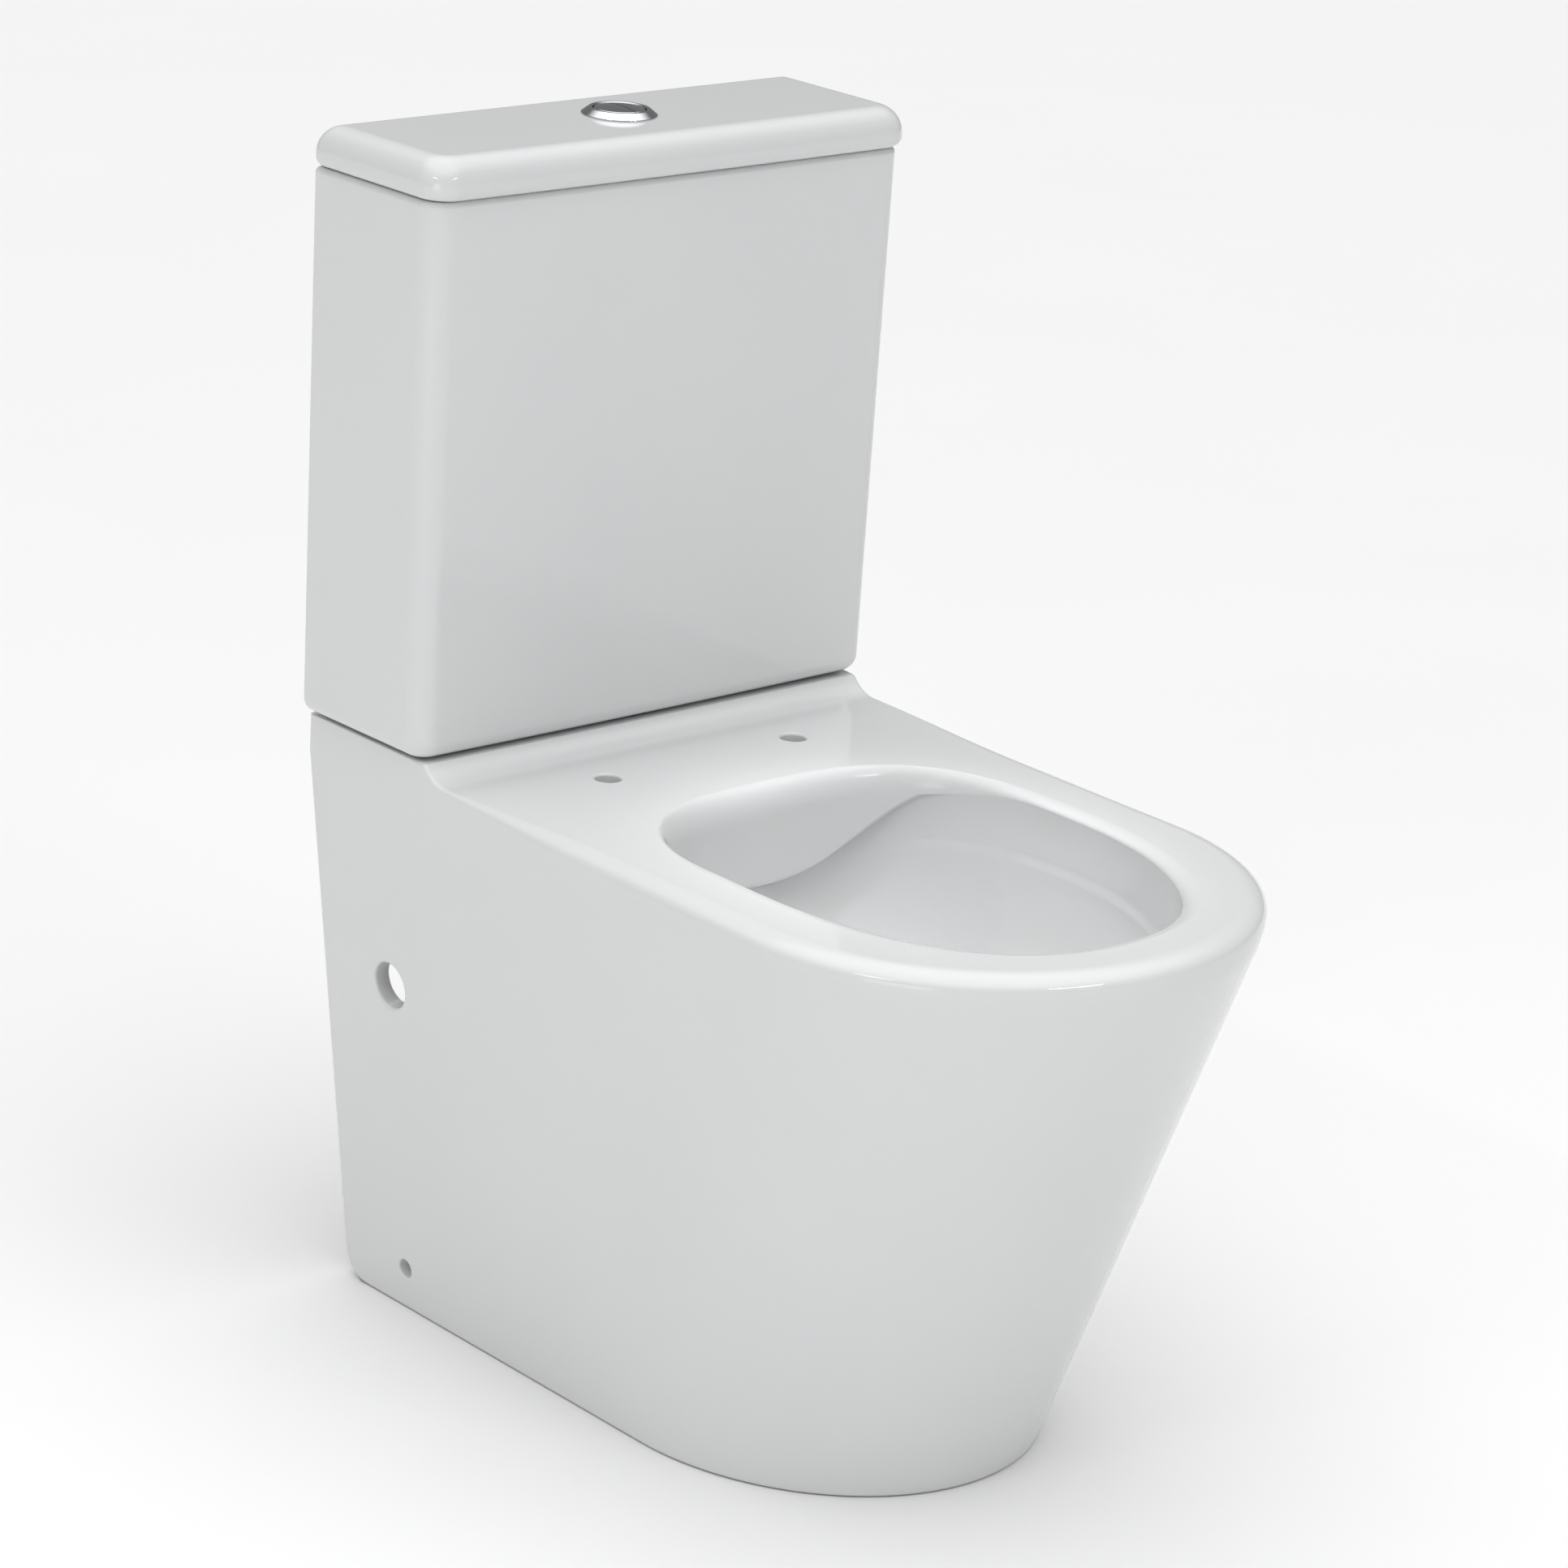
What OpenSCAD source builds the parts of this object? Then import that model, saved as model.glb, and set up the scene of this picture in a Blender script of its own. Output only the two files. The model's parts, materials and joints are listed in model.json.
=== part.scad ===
// Close coupled back-to-wall toilet: skirted rimless pan, cistern with lid, dual flush works.
// Millimetres, +Z up, the front faces -Y. The origin is on the floor, on the centre line,
// halfway between the wall plane and the front of the rim.

/* [Pan] */
// Height of the rim above the floor
rim_height = 400; // [380:1:430]
// Depth from the wall to the front of the rim
pan_length = 621; // [560:1:700]
// Width across the rim
pan_width = 373; // [352:1:420]
// Width of the foot on the floor
foot_width = 290; // [260:1:320]
// Depth of the foot from the wall
foot_length = 488; // [440:1:540]
// Length of the elliptical nose at the rim
rim_nose = 179; // [150:1:200]
// Length of the elliptical nose at the floor
foot_nose = 165; // [140:1:190]
// Radius with which the skirt bends in below the rim's edge
knee_r = 50; // [30:1:90]
// Radius of the rim's outer edge
rim_edge_r = 11; // [6:1:14]
// Radius of the upright rear edges at the floor
rear_edge_r = 14; // [6:1:20]
// Thickness of the skirt
skirt_wall = 12; // [8:1:14]
// Thickness of the deck under the rim and the platform
deck_t = 16; // [12:1:20]

/* [Bowl] */
// Width of the bowl's opening
opening_width = 291; // [270:1:300]
// Distance from the wall to the back of the opening
opening_back = 236; // [230:1:250]
// Distance from the wall to the front of the opening
opening_front = 585; // [540:1:590]
// Distance from the wall to the widest place of the opening
opening_mid = 390; // [370:1:410]
// Radius of the rim's inner edge
inner_edge_r = 11; // [8:1:14]
// Depth of the flushing ledge below the rim
ledge_depth = 42; // [30:1:50]
// Thickness of the bowl's wall
bowl_wall = 11; // [8:1:13]
// Height of the throat where the bowl meets the sump
throat_height = 150; // [140:1:170]
// Half width of the throat
throat_r = 50; // [42:1:58]
// Height of the sump's bottom above the floor
sump_height = 62; // [50:1:70]
// Depth of the flush distributor's lip below the rim, at its middle
lip_depth = 70; // [60:1:76]
// Thickness of the distributor
hood_t = 10; // [8:1:12]

/* [Waste and fixing] */
// Height of the waste outlet's axis
outlet_height = 183; // [175:1:190]
// Outside diameter of the waste spigot
outlet_d = 102; // [98:1:106]
// Bore of the waste spigot
outlet_bore = 88; // [80:1:90]
// Distance of the spigot's end from the wall
outlet_inset = 25; // [20:1:40]
// Diameter of the access holes in the sides
access_d = 32; // [28:1:36]
// Height of the access holes
access_height = 240; // [230:1:260]
// Diameter of the floor fixing holes
fixing_d = 13; // [10:1:14]
// Height of the floor fixing holes
fixing_height = 30; // [25:1:40]
// Distance of both holes from the wall
side_hole_back = 76; // [65:1:90]
// Diameter of the seat fixing holes
seat_hole_d = 17; // [14:1:18]
// Spacing of the seat fixing holes
seat_spacing = 160; // [150:1:170]
// Distance of the seat fixing holes from the wall
seat_back = 181; // [178:1:188]

/* [Cistern] */
// Height of the cistern's body
tank_height = 365; // [340:1:420]
// Width of the cistern at the bottom
tank_bottom_width = 387; // [370:1:395]
// Width of the cistern at the top
tank_top_width = 395; // [380:1:405]
// Depth of the cistern
tank_depth = 128; // [124:1:134]
// Thickness of the cistern's walls
tank_wall = 9; // [7:1:10]
// Thickness of the cistern's floor
tank_floor = 12; // [10:1:14]
// Radius of the upright front corners
tank_corner_r = 17; // [12:1:22]
// Radius of the upright rear corners
tank_rear_r = 5; // [4:1:8]
// Radius of the bottom edges
tank_bottom_r = 11; // [8:1:14]
// Height of the platform above the rim
platform_rise = 11; // [8:1:14]
// Thickness of the rubber pads under the cistern
pad_t = 2; // [1.5:0.5:4]

/* [Lid] */
// Height of the lid
lid_height = 27; // [24:1:34]
// How far the lid stands past the cistern at each side
lid_side = 2.5; // [1:0.5:4]
// How far the lid stands past the cistern's front
lid_front = 5; // [2:0.5:6]
// Thickness of the lid's top
lid_t = 9; // [7:1:10]
// Gap between the lid and what it covers
lid_gap = 0.6; // [0.4:0.1:1]

/* [Flush works] */
// Diameter of the button's bezel
bezel_d = 50; // [46:1:56]
// Diameter of the hole in the lid for the button
button_hole_d = 40; // [38:1:42]
// Travel of the buttons
press_travel = 5; // [3:0.5:5]
// Lift of the flush valve
valve_lift = 10; // [6:1:10]
// Outside diameter of the flush valve's threaded tail
tail_d = 59; // [56:1:60]
// Bore of the flush valve
valve_bore = 50; // [44:1:52]
// Diameter of the coupling bolts
bolt_d = 8; // [6:1:8]
// Spacing of the coupling bolts
bolt_spacing = 150; // [146:1:160]
// Distance of the fill valve from the centre line
fill_offset = 130; // [125:1:140]
// Diameter of the fill valve's threaded tail
inlet_d = 21; // [20:0.5:21]
// Running clearance between a moving piece and its guide, on the radius
run_gap = 0.3; // [0.3:0.05:0.4]
// Running clearance of a lever on its pin, on the radius
pin_gap = 0.05; // [0.03:0.01:0.1]

/* [Hidden] */

$fn = 64;
china = [0.93, 0.93, 0.92];
white_plastic = [0.90, 0.91, 0.90];
grey_plastic = [0.62, 0.64, 0.66];
blue_plastic = [0.25, 0.45, 0.70];
black_rubber = [0.12, 0.12, 0.12];
chrome_metal = [0.80, 0.82, 0.84];
brass_metal = [0.80, 0.66, 0.36];
steel_metal = [0.68, 0.69, 0.70];

eps = 0.01;
past = 2; // how far a cut runs past the face that it opens
wall_y = pan_length / 2;
side_lean = (pan_width - foot_width) / 2;
front_lean = pan_length - foot_length;
platform_z = rim_height + platform_rise;
deck_bottom = rim_height - deck_t;

tank_z = platform_z + pad_t;
tank_top = tank_z + tank_height;
floor_z = tank_z + tank_floor;
lid_z = tank_top + lid_gap;
lid_top = lid_z + lid_height;
lid_under = lid_top - lid_t;

valve_back = tank_depth / 2;
valve_y = wall_y - valve_back;

// Heights in the flush valve, counted up from the cistern's floor
flange_top = floor_z + 6;
seat_top = flange_top + 9;
seal_z = seat_top + run_gap;
seal_t = 3;
core_z = seal_z + seal_t;
cage_top = floor_z + 149;
yoke_z = cage_top + 26;
lever_z = yoke_z + 25;
plate_z = lever_z + 15;
button_r = button_hole_d / 2 - 2.8;
rod_x = button_r - 6.2;
rod_y = 5;
rod_d = 4.4;
push_top = lever_z + 3;
rod_bottom = push_top + 0.3;
tail_bottom = deck_bottom - 12;
well_z = platform_z - 20;
well_r = 52;
inlet_r = 34;
duct_z = deck_bottom - 34;
duct_h = 28;
nose_steps = 36;
corner_steps = 4;

// ---------- outlines and lofts ----------

// Angle from upright of the skirt's straight part, for a total lean over the skirt's height
skirt_height = rim_height - rim_edge_r;
function knee_angle(total) = let (a = knee_r - total)
    atan2(skirt_height, a) - acos(knee_r / norm([a, skirt_height]));

// How far the skirt has come in at a depth below the rim's edge: an arc, then a straight slope
function lean(depth, total) = let (t = knee_angle(total))
    depth < knee_r * sin(t) ? knee_r - sqrt(knee_r * knee_r - depth * depth)
    : knee_r * (1 - cos(t)) + (depth - knee_r * sin(t)) * tan(t);

function edge_depth(z) = max(0, skirt_height - z);
function half_width(z) = pan_width / 2 - lean(edge_depth(z), side_lean);
function reach(z) = pan_length - lean(edge_depth(z), front_lean);
function nose(z) = foot_nose + (rim_nose - foot_nose) * z / rim_height;
function rear_r(z) = 3 + (rear_edge_r - 3) * (1 - z / rim_height);

function arc(cx, cy, r, from, to, steps) =
    [for (k = [0:steps]) let (t = from + (to - from) * k / steps) [cx + r * cos(t), cy + r * sin(t)]];

// Plan of the pan: square to the wall with rounded corners, straight sides, elliptical nose
function pan_plan(w, len, nose, r, back) = concat(
    arc(w - r, wall_y + back - r, r, 0, 90, corner_steps),
    arc(r - w, wall_y + back - r, r, 90, 180, corner_steps),
    [for (k = [0:nose_steps]) let (t = 180 + 180 * k / nose_steps)
        [w * cos(t), wall_y - len + nose + nose * sin(t)]]);

function pan_ring(z, inset, back = 0) = [for (p = pan_plan(half_width(z) - inset, reach(z) - inset,
    nose(z) - inset, rear_r(z), back)) [p.x, p.y, z]];

// One quarter of a superellipse after another, with its own reach to the back and to the front
function power(c, n) = sign(c) * pow(abs(c), 2 / n);
function oval(w, back, front, mid, n, steps = 48) = [for (k = [0:steps - 1]) let (t = 360 * k / steps)
    [w * power(cos(t), n), wall_y - mid + (sin(t) > 0 ? mid - back : front - mid) * power(sin(t), n)]];

// Plan of the cistern and the lid: a box with one radius in front and another behind
function box_plan(w, back, front, r_front, r_rear) = concat(
    arc(w - r_rear, wall_y - back - r_rear, r_rear, 0, 90, corner_steps),
    arc(r_rear - w, wall_y - back - r_rear, r_rear, 90, 180, corner_steps),
    arc(r_front - w, wall_y - front + r_front, r_front, 180, 270, corner_steps),
    arc(w - r_front, wall_y - front + r_front, r_front, 270, 360, corner_steps));

function at_height(plan, z) = [for (p = plan) [p.x, p.y, z]];

// A closed solid through rings of equal count, listed from the bottom up
module loft(rings) {
    n = len(rings[0]);
    m = len(rings);
    polyhedron(
        points = [for (ring = rings) each ring],
        faces = concat(
            [[for (i = [0:n - 1]) i]],
            [for (j = [0:m - 2], i = [0:n - 1]) let (a = j * n + i, b = j * n + (i + 1) % n)
                each [[a, a + n, b + n], [a, b + n, b]]],
            [[for (i = [n - 1:-1:0]) (m - 1) * n + i]]));
}

// A round tube's solid along a path in the plane x = 0, given as [distance from wall, height, radius]
function path_point(path, i) = path[max(0, min(len(path) - 1, i))];
function between(path, i, t) = let (a = path_point(path, i - 1), b = path_point(path, i),
    c = path_point(path, i + 1), d = path_point(path, i + 2))
    0.5 * (2 * b + t * (c - a) + t * t * (2 * a - 5 * b + 4 * c - d) + t * t * t * (3 * b - a - 3 * c + d));

module sweep(path, extra, sides = 20, steps = 3) {
    fine = [for (i = [0:len(path) - 2], k = [0:steps - 1]) between(path, i, k / steps)];
    line = concat(fine, [path[len(path) - 1]]);
    loft([for (i = [0:len(line) - 1]) let (
        ahead = path_point(line, i + 1), behind = path_point(line, i - 1),
        d = [ahead.x - behind.x, ahead.y - behind.y] / norm([ahead.x - behind.x, ahead.y - behind.y]),
        r = line[i].z + extra)
        [for (k = [0:sides - 1]) let (t = 360 * k / sides)
            [r * cos(t), wall_y - line[i].x + r * sin(t) * d.y, line[i].y + r * sin(t) * d.x]]]);
}

// ---------- small shapes that repeat ----------

module at_valve() translate([0, valve_y, 0]) children();
module at_fill() translate([fill_offset, valve_y, 0]) children();
module at_bolts() for (s = [-1, 1]) translate([s * bolt_spacing / 2, valve_y, 0]) children();

module tube(r_out, r_in, z1, z2) translate([0, 0, z1]) difference() {
    cylinder(r = r_out, h = z2 - z1);
    translate([0, 0, -past]) cylinder(r = r_in, h = z2 - z1 + 2 * past);
}

module rod(r, z1, z2) translate([0, 0, z1]) cylinder(r = r, h = z2 - z1);

module slab(x1, x2, y1, y2, z1, z2) translate([x1, y1, z1]) cube([x2 - x1, y2 - y1, z2 - z1]);

module hex_nut(across, r_in, z1, z2) translate([0, 0, z1]) difference() {
    cylinder(r = across / sqrt(3), h = z2 - z1, $fn = 6);
    translate([0, 0, -past]) cylinder(r = r_in, h = z2 - z1 + 2 * past);
}

// ---------- pan ----------

module pan_outside() {
    knee_heights = [for (k = [0:5]) skirt_height - knee_r * sin(knee_angle(front_lean)) * (5 - k) / 5];
    loft(concat(
        [pan_ring(0, 2), pan_ring(3, 0)],
        [for (z = knee_heights) pan_ring(z, 0)],
        [for (a = [22.5:22.5:90]) [for (p = pan_plan(
            half_width(rim_height) - rim_edge_r * (1 - cos(a)), pan_length - rim_edge_r * (1 - cos(a)),
            rim_nose - rim_edge_r * (1 - cos(a)), 3, 0))
            [p.x, p.y, rim_height - rim_edge_r * (1 - sin(a))]]]));
}

// The raised seat of the cistern, with a hollow fillet down to the deck in front
module platform() {
    fillet_r = 28;
    foot_of_fillet = tank_depth + 18;
    start = acos(1 - platform_rise / fillet_r);
    half = pan_width / 2 - 0.5;
    rear = 0.5;
    fillet = [for (k = [0:6]) let (t = start * (1 - k / 6))
        [foot_of_fillet - fillet_r * sin(t), rim_height + fillet_r * (1 - cos(t)) - 0.1]];
    translate([-half, wall_y, 0]) rotate([90, 0, 90]) linear_extrude(2 * half)
        polygon([for (p = concat([[rear, deck_bottom + 4], [rear, platform_z], [fillet[0].x, platform_z]],
            fillet, [[foot_of_fillet, deck_bottom + 4]])) [-p.x, p.y]]);
}

module skirt_hollow() {
    heights = [-past, 60, 160, deck_bottom - 40, deck_bottom - 20, deck_bottom];
    loft([for (z = heights) pan_ring(z, skirt_wall, 20)]);
}

// Bowl sizes at a fall s from the ledge, 0, to the throat, 1
ledge_z = rim_height - ledge_depth;
ledge_half = opening_width / 2 - inner_edge_r - 5;
ledge_front = opening_front - inner_edge_r - 6;
ledge_back = opening_back + inner_edge_r + 3;
chamber_back = opening_back - 22;
throat_back = 298;
throat_front = 398;
throat_mid = 348;
sump_edge_r = 24;
function bowl_ring(s, grow) = let (f = cos(90 * s)) at_height(oval(
    throat_r + (ledge_half - throat_r) * f + grow,
    throat_back + (ledge_back - throat_back) * f - grow,
    throat_front + (ledge_front - throat_front) * f + grow,
    throat_mid + (opening_mid - throat_mid) * f, 2 + 0.5 * f), throat_height + (ledge_z - throat_height) * (1 - s));

function sump_ring(a, grow) = let (in = sump_edge_r * (1 - sin(a)) - grow) at_height(oval(
    throat_r - in, throat_back + in, throat_front - in, throat_mid, 2),
    sump_height + sump_edge_r * (1 - cos(a)) - grow * cos(a));

function bowl_rings(grow) = concat(
    [for (a = [0:30:90]) sump_ring(a, grow)],
    [for (s = [1:-1/6:0]) bowl_ring(s, grow)]);

// The opening at a height: its edge has come in by the amount given
function mouth_ring(z, in) = at_height(oval(opening_width / 2 - in, opening_back + in, opening_front - in,
    opening_mid, 2.5), z);

module bowl_body() loft(concat(bowl_rings(bowl_wall), [mouth_ring(rim_height - 5, inner_edge_r - bowl_wall)]));

module bowl_hollow() loft(concat(
    bowl_rings(0),
    [for (a = [0:22.5:90]) mouth_ring(rim_height - inner_edge_r * (1 - sin(a)), inner_edge_r * cos(a))],
    [mouth_ring(rim_height + past, -1)]));

// The chamber behind the distributor, which spreads the flush water to both sides
chamber_half = ledge_half - 10;
chamber_low = rim_height - lip_depth - 12;
module chamber() translate([0, 0, chamber_low]) linear_extrude(deck_bottom + 3 - chamber_low)
    polygon(oval(chamber_half, chamber_back, opening_mid - 60, opening_mid - 80, 2.4, 40));

module chamber_body() translate([0, 0, chamber_low - bowl_wall]) linear_extrude(rim_height - 5 - chamber_low + bowl_wall)
    polygon(oval(chamber_half + bowl_wall, chamber_back - bowl_wall, opening_mid - 40, opening_mid - 80, 2.4, 40));

// The distributor: a curtain round the back of the opening, whose lip is lowest in the middle
module hood() {
    lip_half = ledge_half - 8;
    edge = 14;
    steps = 24;
    function lip_z(x) = rim_height - lip_depth + (lip_depth - edge) * pow(min(1, abs(x) / lip_half), 2.2);
    function place(t, out) = [(ledge_half + out) * power(cos(t), 2.5),
        wall_y - opening_mid + (opening_mid - ledge_back + out) * power(sin(t), 2.5)];
    function section(t) = let (
        low = lip_z(place(t, 0).x), mid_z = (low + rim_height) / 2,
        list = [[-5, rim_height - 4], [-5, mid_z], [-5, low + 1], [-3, low], [hood_t - 2, low],
            [hood_t, low + 2], [hood_t, mid_z], [hood_t, rim_height - 4]])
        [for (q = list) [place(t, q.x).x, place(t, q.x).y, q.y]];
    loft([for (k = [0:steps]) section(164 - 148 * k / steps)]);
}

trap_end = 100;
trap_path = [[350, 92, 27], [300, 88, 27], [258, 116, 28], [228, 166, 30], [190, 198, 33], [150, 193, 39],
    [120, outlet_height + 1.5, 42], [trap_end - 8, outlet_height, 42.5]];

module trap_body() {
    sweep(trap_path, 8);
    translate([0, wall_y - outlet_inset, outlet_height]) rotate([90, 0, 0])
        cylinder(d = outlet_d, h = trap_end - outlet_inset);
}

module trap_bore() {
    sweep(trap_path, 0);
    translate([0, wall_y + past, outlet_height]) rotate([90, 0, 0]) cylinder(d = outlet_bore, h = trap_end - 5 + past);
}

// Water passage from the cistern's outlet to the chamber behind the distributor
module duct_body() slab(-54, 54, wall_y - chamber_back - 18, wall_y - 14, duct_z - 11, deck_bottom + 6);
module duct_bore() {
    slab(-42, 42, wall_y - chamber_back - 8, wall_y - valve_back + 36, duct_z, duct_z + duct_h);
    at_valve() rod(inlet_r, duct_z + 4, well_z + past);
}

// A hole in one side, square to the leaning skirt
module side_hole(s, z, d) translate([s * half_width(z), wall_y - side_hole_back, z])
    rotate([0, s * (90 + knee_angle(side_lean)), 0]) cylinder(d = d, h = 60, center = true);

module pan_holes() {
    at_valve() rod(well_r, well_z, platform_z + past);
    at_bolts() rod(bolt_d / 2 + 1.5, duct_z, platform_z + past);
    at_fill() rod(22, duct_z, platform_z + past);
    for (s = [-1, 1]) {
        translate([s * seat_spacing / 2, wall_y - seat_back, duct_z]) cylinder(d = seat_hole_d, h = 100);
        side_hole(s, access_height, access_d);
        side_hole(s, fixing_height, fixing_d);
    }
}

module pan() color(china) difference() {
    union() { pan_outside(); platform(); }
    difference() { skirt_hollow(); bowl_body(); chamber_body(); trap_body(); duct_body(); }
    bowl_hollow();
    difference() { chamber(); hood(); }
    trap_bore();
    duct_bore();
    pan_holes();
}

// ---------- cistern ----------

function tank_half(z) = (tank_bottom_width + (tank_top_width - tank_bottom_width) * (z - tank_z) / tank_height) / 2;

function tank_ring(z, inset) = at_height(box_plan(tank_half(z) - inset, inset, tank_depth - inset,
    max(1, tank_corner_r - inset), max(1, tank_rear_r - inset)), z);

module cistern_tank() color(china) {
    top_r = 4;
    difference() {
        loft(concat(
            [for (a = [0:22.5:90]) tank_ring(tank_z + tank_bottom_r * (1 - cos(a)), tank_bottom_r * (1 - sin(a)))],
            [for (a = [0:30:90]) tank_ring(tank_top - top_r * (1 - sin(a)), top_r * (1 - cos(a)))]));
        loft(concat(
            [for (a = [0:30:90]) tank_ring(floor_z + 8 * (1 - cos(a)), tank_wall + 8 * (1 - sin(a)))],
            [tank_ring(tank_top + past, tank_wall)]));
        at_valve() rod(tail_d / 2 + 1, tank_z - past, floor_z + past);
        at_bolts() rod(bolt_d / 2 + 1.5, tank_z - past, floor_z + past);
        at_fill() rod(thread_r + 1, tank_z - past, floor_z + past);
    }
}

module cistern_pads() color(black_rubber) for (s = [-1, 1])
    slab(s * 97 - 7, s * 97 + 7, wall_y - tank_depth + 30, wall_y - 30, platform_z, tank_z);

// ---------- lid ----------

lid_half = tank_half(tank_top) + lid_side;
lid_depth = tank_depth + lid_front;
function lid_ring(z, inset) = at_height(box_plan(lid_half - inset, inset, lid_depth - inset,
    max(2, 20 - inset), max(2, 10 - inset)), z);

module cistern_lid() color(china) {
    low_r = 6;
    edge_w = 16;
    edge_h = 18;
    rib_out = tank_wall + 3;
    difference() {
        union() {
            difference() {
                loft(concat(
                    [for (a = [0:30:90]) lid_ring(lid_z + low_r * (1 - cos(a)), low_r * (1 - sin(a)))],
                    [for (a = [0:15:90]) lid_ring(lid_top - edge_h * (1 - sin(a)), edge_w * (1 - cos(a)))]));
                loft([lid_ring(lid_z - past, 14), lid_ring(lid_under, 14)]);
            }
            difference() {
                translate([0, 0, lid_z - 10]) linear_extrude(lid_under + 1 - lid_z + 10)
                    polygon(box_plan(tank_half(tank_top) - rib_out, rib_out, tank_depth - rib_out, 8, 5));
                translate([0, 0, lid_z - 10 - past]) linear_extrude(lid_under - lid_z + 10 + past)
                    polygon(box_plan(tank_half(tank_top) - rib_out - 5, rib_out + 5, tank_depth - rib_out - 5, 4, 4));
            }
        }
        at_valve() rod(button_hole_d / 2, lid_under - past, lid_top + past);
    }
}

// ---------- coupling between cistern and pan ----------

module coupling_gasket() color(black_rubber) at_valve() difference() {
    rod(well_r - 2, well_z, tank_z);
    rod(tail_d / 2 + 1, well_z - past, tank_z + past);
    rod(44, tank_z - 15, tank_z + past);
}

module coupling_bolts() color(brass_metal) at_bolts() {
    rod(bolt_d / 2, deck_bottom - 26, floor_z + 4);
    rod(bolt_d, floor_z + 3, floor_z + 8);
}

module coupling_bolt_seals() color(black_rubber) at_bolts() tube(bolt_d / 2 + 7, bolt_d / 2, floor_z, floor_z + 3);

module coupling_washers() color(brass_metal) at_bolts() tube(12, bolt_d / 2, deck_bottom - 2, deck_bottom);

module coupling_wing_nuts() color(brass_metal) at_bolts() {
    top = deck_bottom - 2;
    tube(8, bolt_d / 2, top - 8, top);
    difference() {
        slab(-17, 17, -2, 2, top - 14, top - 3);
        rod(6, top - 14 - past, top);
    }
}

// ---------- flush valve ----------

module flush_valve_base() color(white_plastic) at_valve() {
    tube(44, valve_bore / 2, floor_z + 3, flange_top);
    tube(tail_d / 2, valve_bore / 2, tail_bottom, floor_z + 3 + eps);
    tube(valve_bore / 2 + 8, valve_bore / 2, flange_top - eps, seat_top);
}

module flush_valve_tail_washer() color(black_rubber) at_valve() tube(43, tail_d / 2, floor_z, floor_z + 3);

module flush_valve_backnut() color(white_plastic) at_valve() hex_nut(tail_d + 13, tail_d / 2, tank_z - 13, tank_z);

module flush_valve_cage() color(blue_plastic) at_valve() {
    tube(43, 38.5, flange_top, flange_top + 5);
    for (a = [45:90:315]) rotate([0, 0, a]) slab(38.5, 42.5, -4, 4, flange_top + 4, cage_top - 3);
    tube(43, 16 + run_gap + 1, cage_top - 4, cage_top);
    for (s = [-1, 1]) difference() {
        slab(-6, 6, s * 22 - 2.5, s * 22 + 2.5, cage_top - eps, lever_z + 8);
        translate([0, 30, lever_z]) rotate([90, 0, 0]) cylinder(r = 2.5, h = 60);
    }
    for (z = [flange_top + 8, cage_top - 4]) difference() {
        slab(-68, -40, -6, 6, z, z + 4);
        translate([-62, 0, 0]) rod(2.5, z - past, z + 4 + past);
    }
    slab(-43, -39, -6, 6, flange_top + 4, flange_top + 12);
}

module lever_pin() color(steel_metal) translate([0, valve_y + 25, lever_z]) rotate([90, 0, 0])
    cylinder(r = 2.5, h = 50);

// Moving core: the overflow tube with its foot disc and the yoke that the full lever lifts
module overflow_tube() color(white_plastic) at_valve() {
    tube(16, 13, core_z, yoke_z + 3);
    tube(36, 13, core_z, core_z + 4);
    difference() {
        slab(-25, 25, -6, 6, yoke_z, yoke_z + 3);
        rod(13, yoke_z - past, yoke_z + 3 + past);
    }
    for (s = [-1, 1]) slab(s * 23 - 2, s * 23 + 2, -6, 6, yoke_z, plate_z + 3);
    difference() {
        slab(-25, 25, -11, 11, plate_z, plate_z + 3);
        for (s = [-1, 1]) translate([s * rod_x, -s * rod_y, 0]) rod(rod_d / 2 + 2, plate_z - past, plate_z + 3 + past);
    }
}

module flush_valve_seal() color(black_rubber) at_valve() tube(valve_bore / 2 + 9, valve_bore / 2 - 5, seal_z, core_z);

module valve_float() color(grey_plastic) at_valve() tube(30, 16, core_z + 65, core_z + 110);

module half_flush_float() color(grey_plastic) at_valve() translate([-62, 0, 0])
    tube(13, 2.5 + run_gap, flange_top + 50, flange_top + 88);

module half_float_rod() color(steel_metal) at_valve() translate([-62, 0, 0]) rod(2.5, flange_top + 8, cage_top);

// A rocker on the pin: the rod pushes its right end down and its left end goes up
module rocker(tip_height) {
    difference() {
        union() {
            slab(-16, 14, -2.5, 2.5, -3, 3);
            slab(-16, -12, -2.5, 2.5, 0, tip_height);
            rotate([90, 0, 0]) cylinder(r = 5.5, h = 5, center = true);
        }
        rotate([90, 0, 0]) cylinder(r = 2.5 + pin_gap, h = 9, center = true);
    }
}

module full_flush_lever() color(grey_plastic) translate([0, valve_y - rod_y, lever_z]) rocker(14);

module half_flush_lever() color(blue_plastic) translate([0, valve_y + rod_y, lever_z])
    rotate([0, 0, 180]) rocker(6);

// ---------- push button ----------

barrel_r = button_hole_d / 2 - 0.4;
barrel_in = button_r + 0.4;
barrel_floor = lid_under - 12;
button_under = lid_under + 3;

// The bezel's section at a share of its width, 0 at the button and 1 outside
function bezel_at(share, height) = [barrel_in + (bezel_d / 2 - barrel_in) * share, lid_top + height];

module button_bezel() color(chrome_metal) at_valve() rotate_extrude() polygon([bezel_at(0, 0), bezel_at(0, 3.6),
    bezel_at(0.14, 4.6), bezel_at(0.32, 4.6), bezel_at(0.81, 1.8), bezel_at(1, 1), bezel_at(1, 0)]);

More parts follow.
